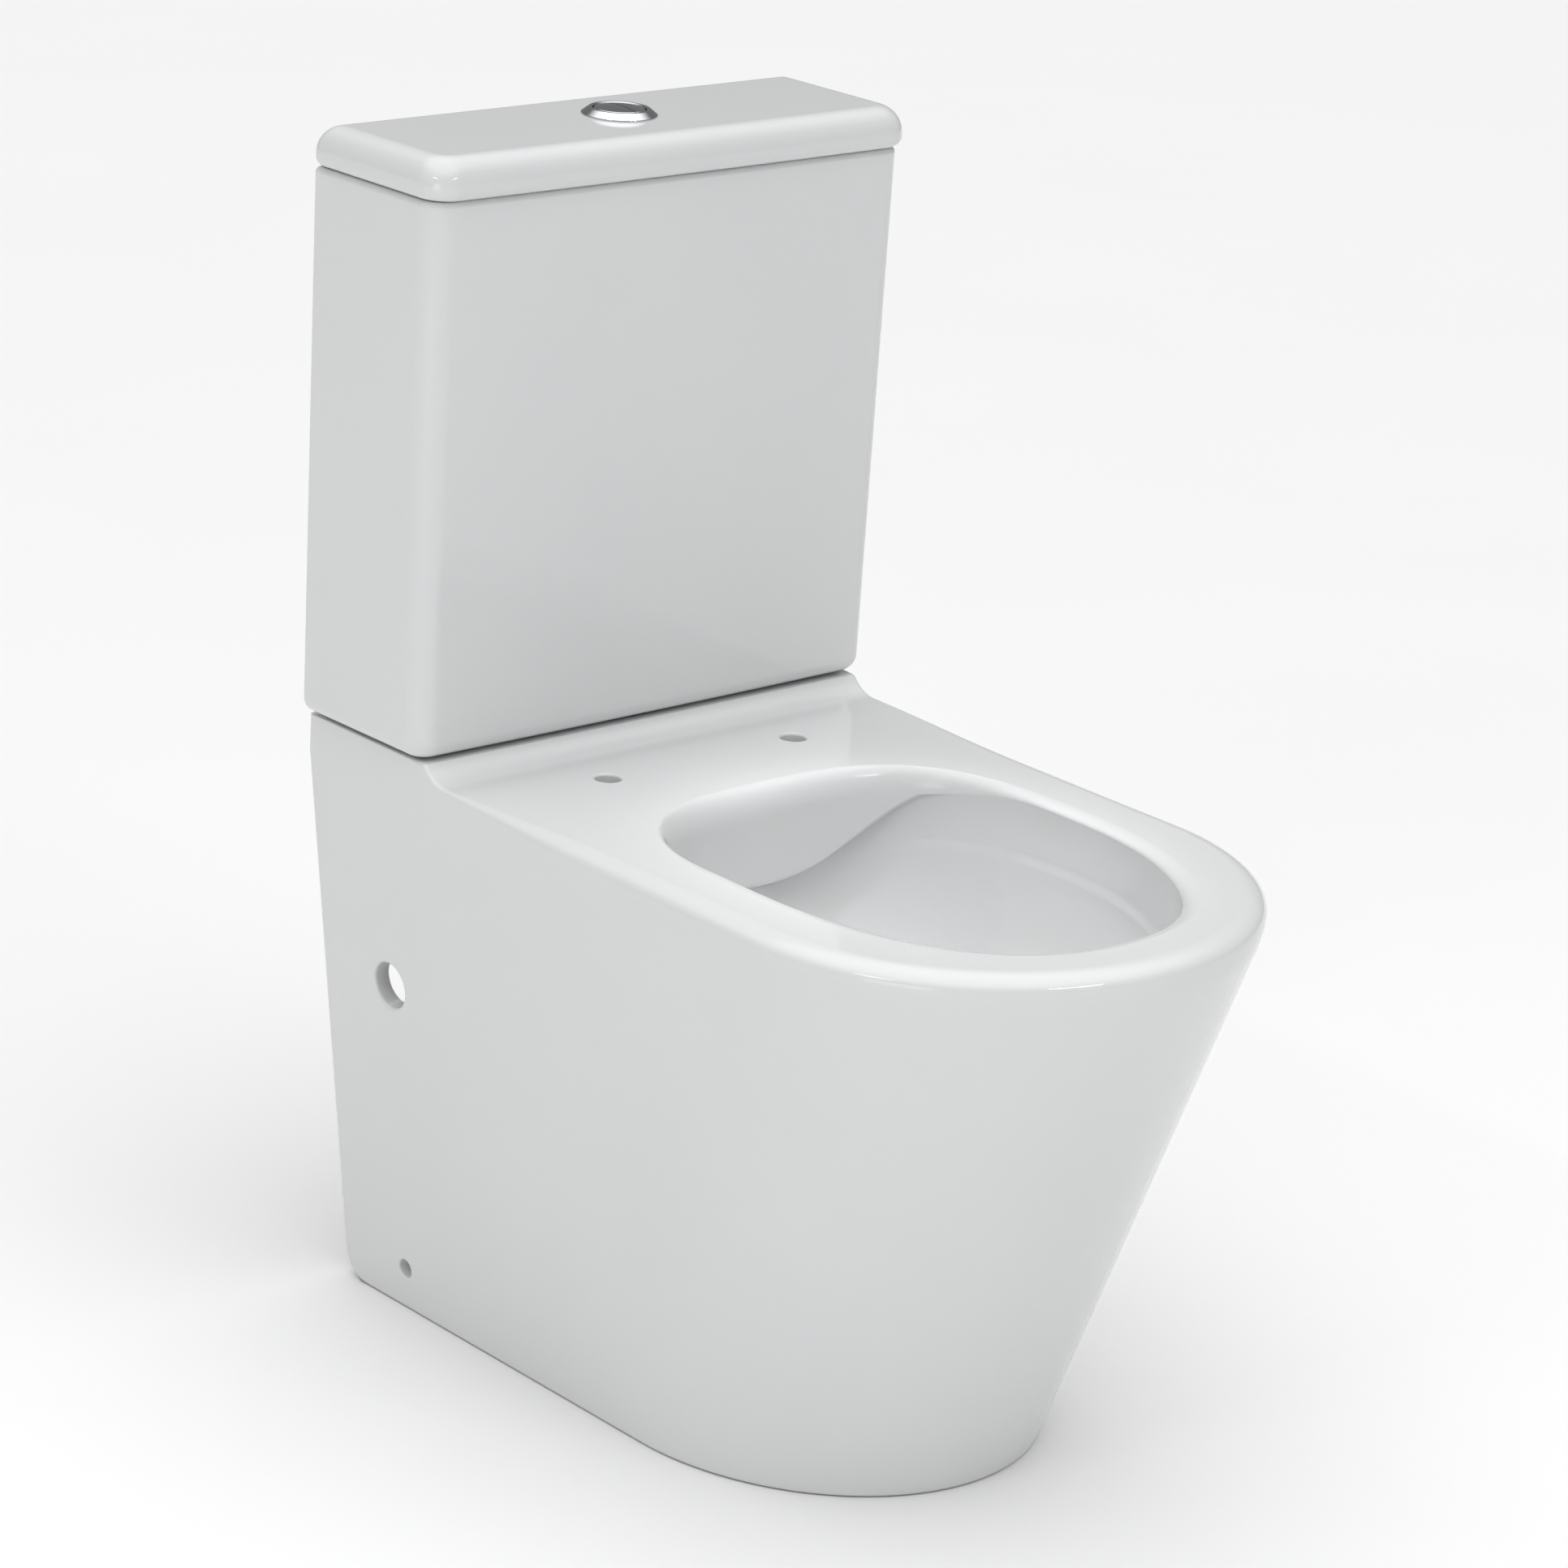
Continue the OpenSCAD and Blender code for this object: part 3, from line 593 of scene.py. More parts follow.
        faces = grid_faces(count, cols, True)
        for base, flip in ((0, True), ((count - 1) * cols, False)):
            i = np.arange((cols - 1) // 2)
            ladder = np.column_stack([i, i + 1, cols - 2 - i, cols - 1 - i]) + base
            for quad in ladder.tolist():
                quad = list(dict.fromkeys(quad))
                faces.append(quad[::-1] if flip else quad)
        made = mesh_piece("pan_glazed", rings, faces)
        outward(made)
        return made

    def row(self, z: float, inset: float) -> np.ndarray:
        """One level row of the skirt, whose heel is rounded where it meets the floor."""
        r = self.heel_r
        rear = r - math.sqrt(max(r * r - (r - min(z, r)) ** 2, 0)) if z < r else 0.0
        plan = self.outline(z, inset, rear)
        plan[:, 1] = np.maximum(plan[:, 1], rear)
        return np.column_stack([plan[:, 0], self.wall_y - plan[:, 1], np.full(len(plan), z)])

    # -- inside --

    def oval(self, half: float, back: float, front: float, mid: float, n: tuple[float, float]) -> np.ndarray:
        """A superellipse of its own length and power to the back and to the front.

        At polar angle p the radius is 1 / ((|cos p| / w)^n + (|sin p| / l)^n)^(1/n).

        Args:
            half: Half its width.
            back: Distance of its back from the wall.
            front: Distance of its front from the wall.
            mid: Distance of its widest place from the wall.
            n: Power to the back and power to the front.
        Returns:
            Points (steps, 2) of x and y.
        """
        p = np.linspace(0, 2 * np.pi, self.steps, endpoint=False)
        rear = np.sin(p) >= 0
        length = np.where(rear, mid - back, front - mid)
        power = np.where(rear, n[0], n[1])
        aspect = length / half
        c, s = np.cos(p), np.sin(p) * aspect
        size = np.hypot(c, s)
        c, s = c / size, s / size
        radius = ((np.abs(c) / half) ** power + (np.abs(s) / length) ** power) ** (-1 / power)
        return np.column_stack([radius * c, self.wall_y - mid + radius * s])

    def bowl_rings(self, grow: float) -> list[np.ndarray]:
        """The sump, the bowl and the upright band over its ledge, as rings grown by a wall thickness.

        With g = 90 (q + (1 - q) s) and f = cos g / cos 90q each size runs from the throat's, f = 0,
        to the ledge's, f = 1, while the height falls evenly with s. Behind the distributor the
        rings reach further back, by a smooth step of the height.

        Args:
            grow: Wall thickness added all round, zero for the bowl's own air.
        Returns:
            Rings of points, from the sump's floor up.
        """
        rings = []
        for a in quarter(7):
            inset = 24 * (1 - math.sin(a)) - grow
            ring = self.oval(50 - inset, 298 + inset, 398 - inset, 348, (2.0, 2.0))
            height = self.sump + 24 * (1 - math.cos(a)) - grow * math.cos(a)
            rings.append(np.column_stack([ring, np.full(len(ring), height)]))
        start = 0.3
        for s in np.linspace(1, 0, 30):
            f = math.cos(math.pi / 2 * (start + (1 - start) * s)) / math.cos(math.pi / 2 * start)
            back = float(blend_step(np.array(1 - s), 0.35, 0.95))
            ring = self.oval(
                50 + 75.5 * f + grow, 298 - 44 * f - 24 * back - grow, 398 + 169 * f + grow, 348 + 42 * f,
                (2 + 0.9 * f, 2 + 0.4 * f),
            )
            ledge = self.ledge_height(self.wall_y - ring[:, 1]) - 8
            height = self.throat + (ledge - self.throat) * (1 - s)
            rings.append(np.column_stack([ring, height]))
        for t in np.linspace(0.25, 1, 6):
            out = 3.0 * float(blend_step(np.array(t), 0, 1))
            ring = self.oval(125.5 + out + grow, 230 - out / 2 - grow, 567 + out + grow, 390, (2.9, 2.35))
            height = self.ledge_height(self.wall_y - ring[:, 1]) - 8 + 14 * t
            rings.append(np.column_stack([ring, height]))
        for share in (0.2, 0.5, 0.8, 1.0):
            out = 128.5 + 3.9 * share
            ring = self.oval(out + grow, 228 - 2 * share - grow, 570 + 2.5 * share + grow, 390, (2.9, 2.3))
            foot = self.opening(self.lip_in + 0.3 - grow)
            beside = blend_step(self.wall_y - foot[:, 1], 262, 300)[:, None] * share
            ring = ring * (1 - beside) + foot * beside
            d = self.wall_y - ring[:, 1]
            low, high = self.ledge_height(d) + 6, self.rim - self.lip_height(d) + 1.5
            if grow:
                high = np.full(len(ring), self.rim - 5)
            rings.append(np.column_stack([ring, low + (high - low) * share]))
        rings.append(self.drawn_in(rings[-1], 0.88, rings[-1][:, 2]))
        rings.append(self.drawn_in(rings[-2], 0.5, self.rim - 6))
        return rings

    def drawn_in(self, ring: np.ndarray, share: float, height: np.ndarray | float) -> np.ndarray:
        """A ring drawn in about the middle of the opening.

        Args:
            ring: The ring's points.
            share: What share of its size it keeps.
            height: Height of the new ring.
        Returns:
            The new ring's points.
        """
        centre = np.array([0.0, self.wall_y - self.open_mid])
        return np.column_stack([centre + (ring[:, :2] - centre) * share, np.broadcast_to(height, len(ring))])

    def ledge_height(self, d: np.ndarray) -> np.ndarray:
        """The flushing ledge is highest beside the middle and falls to the back and the front."""
        return 361 - 22 * np.minimum(((407 - d) / 177) ** 2, 1.1)

    def lip_height(self, d: np.ndarray) -> np.ndarray:
        """Depth of the inner edge's rounding: tight beside the middle and wide at the back."""
        return 4.5 + 15 * blend_step(383 - d, 20, 125) + 3 * blend_step(d, 440, 580)

    def hood_height(self, x: np.ndarray, d: np.ndarray) -> np.ndarray:
        """Height of the distributor's lip.

        In front of the curtain it is 330 + 57 (1 - (1 - u^2.6)^1.5) with u = |x| / 121, and beyond it
        rises to the opening's edge by a smooth step.

        Args:
            x: Distance to the side.
            d: Distance from the wall.
        Returns:
            The lip's height at each place.
        """
        low = self.rim - self.lip_drop + 57 * (1 - (1 - np.minimum(1, np.abs(x) / 121) ** 2.6) ** 1.5)
        share = blend_step(d, 272, 306)
        return low * (1 - share) + (self.rim + 1 - self.lip_height(d)) * share

    def mouth(self) -> bpy.types.Object:
        """The air of the opening: the inner edge's quarter ellipse, then the distributor's front."""
        rings = []
        ring = self.opening(12.9)
        d = self.wall_y - ring[:, 1]
        lip = self.lip_height(d)
        rear = np.where(d < self.open_mid, self.hood_height(ring[:, 0], d) + self.hood_t / 2 - 0.3, self.rim)
        low = np.minimum(self.rim - lip - 5, rear)
        rings.append(self.drawn_in(ring, 0.5, self.rim - self.lip_drop - 8))
        rings.append(self.drawn_in(ring, 0.88, low - 12))
        tight = 0.03 * blend_step(d, 300, 340)[:, None]
        for share in (0.0, 0.3, 0.6, 0.85):
            level = low + (self.rim - lip - low) * share
            rings.append(self.drawn_in(ring, 1 - tight * (1 - share), level))
        for t in np.linspace(0, 1.36, 14):
            ring = self.opening(self.lip_in * math.cos(t) + 0.4 * (1 - t / 1.36))
            rings.append(np.column_stack([ring, self.rim - lip * (1 - math.sin(t))]))
        ring = self.opening(self.lip_in * math.cos(1.36) - 5)
        rings.append(np.column_stack([ring, self.rim + lip * (1 - math.sin(1.36)) + 0.6]))
        return loft("mouth_air", np.stack(rings))

    def opening(self, inset: float) -> np.ndarray:
        """The opening's outline drawn in by an inset, fuller at its back as it comes in."""
        power = 2.8 + 0.5 * max(inset, 0) / self.lip_in
        return self.oval(
            self.open_half - inset, self.open_back + inset, self.open_front - inset, self.open_mid,
            (power, 2.3),
        )

    def hood(self) -> bpy.types.Object:
        """The distributor: a curtain with a round lower lip, carried round the back of the opening."""
        sections = []
        power = 3.3
        half, length = self.open_half - 12.9, self.open_mid - self.open_back - 12.9
        r = self.hood_t / 2
        for t in np.linspace(math.radians(168), math.radians(12), 110):
            c = math.copysign(abs(math.cos(t)) ** (2 / power), math.cos(t))
            s = abs(math.sin(t)) ** (2 / power)
            low = float(self.hood_height(np.array(half * c), np.array(self.open_mid - length * s)))
            profile = [(-7, self.rim - 2), (-7, low + r)]
            half_turn = np.linspace(0, math.pi, 13)
            profile += [(r - r * math.cos(a), low + r - r * math.sin(a)) for a in half_turn]
            profile += [(2 * r, self.rim - 2)]
            sections.append([
                ((half + out) * c, self.wall_y - self.open_mid + (length + out) * s, z) for out, z in profile
            ])
        return loft("hood", np.array(sections))

    def pipe(self, name: str, path: Sequence[tuple[float, float, float]], extra: float) -> bpy.types.Object:
        """A round pipe along a Catmull-Rom curve in the middle plane.

        Between b and c: (2b + t(c-a) + t^2(2a-5b+4c-e) + t^3(3b-a-3c+e)) / 2.

        Args:
            name: Name of the object.
            path: Distance from the wall, height and radius at each point.
            extra: How much is added to each radius.
        Returns:
            The pipe.
        """
        p = np.array(path, float)
        padded = np.concatenate([p[:1], p, p[-1:]])
        t = np.linspace(0, 1, 6, endpoint=False)[:, None]
        spans = [
            0.5 * (2 * b + t * (c - a) + t**2 * (2 * a - 5 * b + 4 * c - e) + t**3 * (3 * b - a - 3 * c + e))
            for a, b, c, e in zip(padded, padded[1:], padded[2:], padded[3:])
        ]
        line = np.concatenate([*spans, p[-1:]])
        way = np.gradient(line[:, :2], axis=0)
        way /= np.linalg.norm(way, axis=1, keepdims=True)
        turn = np.linspace(0, 2 * np.pi, 40, endpoint=False)
        radius = (line[:, 2] + extra)[:, None]
        rings = np.empty((len(line), len(turn), 3))
        rings[..., 0] = radius * np.cos(turn)
        rings[..., 1] = self.wall_y - line[:, 0][:, None] + radius * np.sin(turn) * way[:, 1][:, None]
        rings[..., 2] = line[:, 1][:, None] + radius * np.sin(turn) * way[:, 0][:, None]
        return loft(name, rings)

    def build(self) -> bpy.types.Object:
        """Makes the whole pan out of its closed shells."""
        trap = [(350, 92, 27), (300, 88, 27), (258, 116, 28), (228, 166, 30), (190, 198, 33), (150, 193, 39),
                (120, self.outlet_z + 1.5, 42), (92, self.outlet_z, 42.5)]
        body = self.outside()
        rings = []
        for z in (-2.0, 60.0, 160.0, 250.0, 320.0, 350.0, 370.0, self.deck_bottom):
            plan = self.outline(z, self.wall)
            plan[:, 1] -= np.where(plan[:, 1] < 15, 20, 0)
            rings.append(np.column_stack([plan[:, 0], self.wall_y - plan[:, 1], np.full(len(plan), z)]))
        cavity = loft("cavity", np.stack(rings))
        cut(cavity, loft("bowl_body", np.stack(self.bowl_rings(self.bowl_wall))))
        cut(cavity, self.pipe("trap_body", trap, 8))
        spigot = (0, self.wall_y - self.outlet_inset, self.outlet_z)
        cut(cavity, drum("spigot", spigot, (0, -1, 0), (49.5, 51, 51), (0, 1.5, 87)))
        cut(cavity, block("duct_body", (-54, self.wall_y - 232, 339), (54, self.wall_y - 14, 390)))
        # The cavity's faces lie inside the skirt; they later take the unglazed body, whose darker colour is
        # painted shade
        inside = cavity.data.attributes.new("skirt_inside_painted_shade", "INT", "FACE")
        inside.data.foreach_set("value", np.ones(len(cavity.data.polygons), np.int32))
        cut(body, cavity)
        cut(body, cut(loft("bowl_air", np.stack(self.bowl_rings(0.0))), self.hood()))
        cut(body, self.mouth())
        cut(body, self.pipe("trap_bore", trap, 0))
        cut(body, drum("outlet_bore", (0, self.wall_y + 2, self.outlet_z), (0, -1, 0), (44, 44), (0, 97)))
        cut(body, block("duct", (-42, self.wall_y - 222, 350), (42, self.wall_y - 28, 378)))
        valve_y = self.wall_y - VALVE_D
        radii = (self.flush_r, self.flush_r, self.well_r, self.well_r)
        levels = (354, self.well_z, self.well_z + 0.01, self.platform + 2)
        cut(body, drum("well", (0, valve_y, 0), (0, 0, 1), radii, levels))
        for x in (-BOLT_X, BOLT_X):
            cut(body, drum("bolt_hole", (x, valve_y, 0), (0, 0, 1), (BOLT_HOLE_R, BOLT_HOLE_R), (350, 413)))
        radii = (self.supply_hole_r, self.supply_hole_r)
        cut(body, drum("inlet_hole", (INLET_X, valve_y, 0), (0, 0, 1), radii, (350, self.platform + 2)))
        for side in (-1, 1):
            self.side_holes(body, side)
            seat = (side * self.seat_half, self.wall_y - self.seat_d, 0)
            cut(body, drum("seat_hole", seat, (0, 0, 1), *self.flare(8.5, 2.0, 350, self.rim)))
        smooth(body)
        # Faces inside the skirt get the darker unglazed material: painted shade of the hollow skirt
        skirt_inside_painted_shade = np.zeros(len(body.data.polygons), np.int32)
        body.data.attributes["skirt_inside_painted_shade"].data.foreach_get("value", skirt_inside_painted_shade)
        body.data.materials.clear()
        for finish in (CHINA, BISCUIT_WITH_PAINTED_SHADE):
            body.data.materials.append(finish.material())
        body.data.polygons.foreach_set("material_index", skirt_inside_painted_shade)
        body.data.attributes.remove(body.data.attributes["skirt_inside_painted_shade"])
        return body

    def flare(self, radius: float, lip: float, low: float, top: float) -> tuple[list[float], list[float]]:
        """Radii and places of a hole whose mouth is rounded by the glaze."""
        t = np.linspace(0, 1.35, 8)
        radii = [radius, *(radius + lip * (1 - np.cos(t))), radius + lip + 0.6]
        places = [low, *(top - lip * (1 - np.sin(t))), top + 1.2]
        return [float(r) for r in radii], [float(p) for p in places]

    def side_holes(self, body: bpy.types.Object, side: int) -> None:
        """The access hole and the fixing hole in one side, square to the leaning skirt."""
        tilt = self.knee_angle(self.half - self.foot_half)
        for z, radius, lip in ((240.0, 16.0, 2.2), (30.0, 6.5, 1.4)):
            half = self.half - float(self.lean(np.array(z), self.half - self.foot_half))
            centre = (side * half, self.wall_y - self.side_hole_d, z)
            axis = (side * math.cos(tilt), 0, -math.sin(tilt))
            cut(body, drum("side_hole", centre, axis, *self.flare(radius, lip, -40, 0)))


# ---------- cistern and lid ----------


def box_plan(
    half: float, rear: float, front: float, r_front: float, r_rear: float, bow: float = 0.0
) -> np.ndarray:
    """A box's plan with a radius at each corner and a slightly bowed front.

    The front is d = front - bow * (x / half)^2, and its corners follow it back.

    Args:
        half: Half the width.
        rear: Distance of the rear from the wall.
        front: Distance of the front's middle from the wall.
        r_front: Radius of the front corners.
        r_rear: Radius of the rear corners.
        bow: How far the front's ends lie behind its middle.
    Returns:
        Points (n, 2) of x and d, going right rear, left rear, left front, right front.
    """
    t = quarter(13)
    parts = [
        np.column_stack([half - r_rear + r_rear * np.cos(t), rear + r_rear - r_rear * np.sin(t)]),
        np.column_stack([r_rear - half - r_rear * np.sin(t), rear + r_rear - r_rear * np.cos(t)]),
        np.column_stack([r_front - half - r_front * np.cos(t), front - bow - r_front + r_front * np.sin(t)]),
    ]
    x = np.linspace(r_front - half, half - r_front, 42)[1:-1]
    edge = (half - r_front) / half
    parts.append(np.column_stack([x, front - bow * (x / half / edge) ** 2]))
    parts.append(np.column_stack([
        half - r_front + r_front * np.sin(t), front - bow - r_front + r_front * np.cos(t),
    ]))
    return np.concatenate(parts)


@dataclass
class Cistern:
    """The cistern's china tank. The fields are its sizes, in millimetres."""

    wall_y: float
    low: float = 413.0
    high: float = 778.0
    half_low: float = 193.5
    half_high: float = 197.5
    depth: float = 128.0
    wall: float = 9.0
    floor: float = 425.0
    corner_r: float = 17.0
    rear_r: float = 5.0
    bottom_r: float = 11.0
    top_r: float = 4.0
    inner_r: float = 9.0
    inner_lip_r: float = 2.5
    bow: float = 1.5

    def ring(self, z: float, inset: float) -> np.ndarray:
        """One level ring of the tank, an inset inside its outer face."""
        half = self.half_low + (self.half_high - self.half_low) * (z - self.low) / (self.high - self.low)
        plan = box_plan(
            half - inset, inset, self.depth - inset, max(self.corner_r - inset, 3),
            max(self.rear_r - inset, 2), self.bow,
        )
        return np.column_stack([plan[:, 0], self.wall_y - plan[:, 1], np.full(len(plan), z)])

    def build(self) -> bpy.types.Object:
        """The outer shell less its inside and the three kinds of hole in its floor."""
        r = self.bottom_r
        rings = [self.ring(self.low + r * (1 - math.cos(t)), r * (1 - math.sin(t))) for t in quarter(12)]
        rings += [self.ring(float(z), 0) for z in np.linspace(self.low + r, self.high - self.top_r, 14)[1:]]
        rings += [
            self.ring(self.high - self.top_r * (1 - math.sin(t)), self.top_r * (1 - math.cos(t)))
            for t in quarter(8)[1:]
        ]
        foot, lip = self.inner_r, self.inner_lip_r
        inner = [
            self.ring(self.floor + foot * (1 - math.cos(t)), self.wall + foot * (1 - math.sin(t)))
            for t in quarter(8)
        ]
        inner += [
            self.ring(self.high - lip * (1 - math.sin(t)), self.wall - lip * (1 - math.cos(t)))
            for t in np.linspace(0, 1.36, 7)
        ]
        inner += [self.ring(self.high + 1.5, self.wall - lip)]
        body = loft("cistern_glazed", np.stack(rings))
        cut(body, loft("tank_air", np.stack(inner)))
        valve_y = self.wall_y - VALVE_D
        for x, radius in ((0, 30.5), (-BOLT_X, BOLT_HOLE_R), (BOLT_X, BOLT_HOLE_R), (INLET_X, 11.5)):
            ends = (self.low - 2, self.floor + 2)
            cut(body, drum("floor_hole", (x, valve_y, 0), (0, 0, 1), (radius, radius), ends))
        smooth(body)
        return body


@dataclass
class Lid:
    """The cistern's lift-off lid. The fields are its sizes, in millimetres."""

    wall_y: float
    low: float = 778.6
    high: float = 805.6
    under: float = 796.6
    half: float = 200.0
    depth: float = 133.0
    corner_r: float = 20.0
    rear_r: float = 10.0
    low_r: float = 6.5
    edge_w: float = 16.0
    edge_h: float = 18.0
    bow: float = 1.5
    hole_r: float = 20.0
    rib_half: float = 185.5
    rib: float = 12.0

    def ring(self, z: float, inset: float) -> np.ndarray:
        """One level ring of the lid, an inset inside its outer face."""
        plan = box_plan(
            self.half - inset, inset, self.depth - inset, max(self.corner_r - 0.6 * inset, 3),
            max(self.rear_r - 0.6 * inset, 2), self.bow,
        )
        return np.column_stack([plan[:, 0], self.wall_y - plan[:, 1], np.full(len(plan), z)])

    def build(self) -> bpy.types.Object:
        """The soft-edged slab, hollow below, with a locating rib and the button's hole."""
        r = self.low_r
        rings = [self.ring(self.low + r * (1 - math.cos(t)), r * (1 - math.sin(t))) for t in quarter(8)]
        rings += [
            self.ring(self.high - self.edge_h * (1 - math.sin(t)), self.edge_w * (1 - math.cos(t)))
            for t in np.linspace(0.03, math.pi / 2, 18)
        ]
        body = loft("lid_glazed", np.stack(rings))
        levels = ((self.low - 2, 13), (self.under - 4, 14), (self.under - 1, 15), (self.under, 18))
        air = [self.ring(z, inset) for z, inset in levels]
        cut(body, loft("lid_air", np.stack(air)))
        shells = []
        for inset, low in ((0.0, self.low - 10), (5.0, self.low - 12)):
            plan = box_plan(self.rib_half - inset, self.rib + inset, 128 - self.rib - inset, 8, 5)
            shells.append(np.stack([
                np.column_stack([plan[:, 0], self.wall_y - plan[:, 1], np.full(len(plan), z)])
                for z in (low, self.under + (1 if inset == 0 else 0))
            ]))
        rib = cut(loft("rib", shells[0]), loft("rib_air", shells[1]))
        cut(body, rib, Cut.JOIN)
        hole = (0, self.wall_y - VALVE_D, 0)
        ends = (self.under - 2, self.high + 2)
        cut(body, drum("button_hole", hole, (0, 0, 1), (self.hole_r, self.hole_r), ends))
        smooth(body)
        return body


# ---------- push button ----------


@dataclass
class PushButton:
    """The chrome bezel, the two halves of the button and their springs, in millimetres."""

    axis: tuple[float, float]
    lid_top: float = 805.6
    button_r: float = 17.2
    bezel_in: float = 17.6
    bezel_out: float = 25.0
    under: float = 799.6
    rod_x: float = 11.0
    rod_y: float = 5.0
    spring_low: float = 786.6
    wire: float = 0.6
    coil_r: float = 4.2
    turns: float = 4.5

    def bezel(self) -> bpy.types.Object:
        """A rolled ring: a flat foot, a long outer slope, a round crest and a bore."""
        low, w = self.lid_top, self.bezel_out - self.bezel_in
        outer = [(self.bezel_out, low), (self.bezel_out, low + 0.6)]
        outer += [
            (self.bezel_out - 0.5 * (1 - math.cos(t)), low + 0.6 + 0.5 * math.sin(t)) for t in quarter(5)
        ]
        outer += [
            (self.bezel_in + w * 0.34 + w * 0.5 * (1 - s), low + 1.5 + 3.0 * s**0.8)
            for s in np.linspace(0.1, 1, 8)
        ]
        outer += [
            (self.bezel_in + 1.0 + 1.3 * math.cos(t), low + 4.4 + 0.2 * math.sin(t))
            for t in np.linspace(0.3, math.pi / 2, 4)
        ]
        outer += [
            (self.bezel_in + 0.9 - 0.9 * math.sin(t), low + 3.7 + 0.9 * math.cos(t)) for t in quarter(6)
        ]
        outer += [(self.bezel_in, low + 1.8), (self.bezel_in, low)]
        made = lathe("button_bezel_chromed", outer, self.axis, 160)
        smooth(made, 45)
        return made

    def half(self, side: int, name: str) -> bpy.types.Object:
        """One half of the domed button: a turned dome with a rounded rim, split by a thin gap."""
        top = self.lid_top
        r = self.button_r
        rise = [(r * s, top + 5.96 - 1.86 * s**2.2) for s in np.linspace(0.02, 0.9, 14)]
        fall = rise[-1][1] - top - 2.6
        edge = [
            (0.9 * r + 0.1 * r * math.sin(t), top + 2.6 + fall * math.cos(t)) for t in quarter(8)[1:]
        ]
        profile = [(0.02, self.under), *rise, *edge, (r, self.under)]
        dome = lathe("dome", profile, self.axis, 160)
        x, y = self.axis
        edges = (0.3, 20) if side > 0 else (-20, -0.3)
        keep = block("keep", (x + edges[0], y - 20, self.under - 1), (x + edges[1], y + 20, top + 9))
        cut(dome, keep, Cut.KEEP)
        dome.name = name
        bevel = dome.modifiers.new("edge", "BEVEL")
        bevel.width = 0.5 * MM
        bevel.segments = 3
        bevel.limit_method = "ANGLE"
        bevel.angle_limit = math.radians(50)
        bpy.context.view_layer.update()
        apply_modifiers(dome)
        smooth(dome, 40)
        return dome

    def spring(self, side: int, name: str) -> bpy.types.Object:
        """A coil of round wire: the centre line rises evenly except for a flat turn at each end.

        Centre (R cos a, R sin a, h(a)); the wire's circle stands on the radial and the upward way.
        """
        steps, ring = 150, 10
        a = np.linspace(0, 2 * np.pi * self.turns, steps)
        share = np.linspace(0, 1, steps)
        rise = blend_step(share, 0.04, 0.96)
        height = self.spring_low + self.wire + (self.under - self.spring_low - 2 * self.wire) * rise
        b = np.linspace(0, 2 * np.pi, ring, endpoint=False)
        radius = self.coil_r + self.wire * np.cos(b)[None, :]
        points = np.empty((steps, ring, 3))
        points[..., 0] = self.axis[0] + side * self.rod_x + radius * np.cos(a)[:, None]
        points[..., 1] = self.axis[1] - side * self.rod_y + radius * np.sin(a)[:, None]
        points[..., 2] = height[:, None] + self.wire * np.sin(b)[None, :]
        made = loft(name, points)
        smooth(made, 60)
        return made


# ---------- studio ----------


@dataclass(frozen=True)
class SoftBox:
    """A soft light: its place, target, sides, power, spread in degrees, and whether gloss shows it."""

    name: str
    place: tuple[float, float, float]
    target: tuple[float, float, float]
    size: tuple[float, float]
    power: float
    spread: float = 180
    mirrored: bool = True

    def build(self) -> None:
        """Makes the light and turns it to its target."""
        data = bpy.data.lights.new(self.name, "AREA")
        data.shape = "RECTANGLE"
        data.size, data.size_y = self.size
        data.energy = self.power
        data.spread = math.radians(self.spread)
        made = bpy.data.objects.new(self.name, data)
        way = Vector(self.target) - Vector(self.place)
        made.rotation_euler = way.to_track_quat("-Z", "Y").to_euler()
        made.location = self.place
        made.visible_glossy = self.mirrored
        bpy.context.scene.collection.objects.link(made)


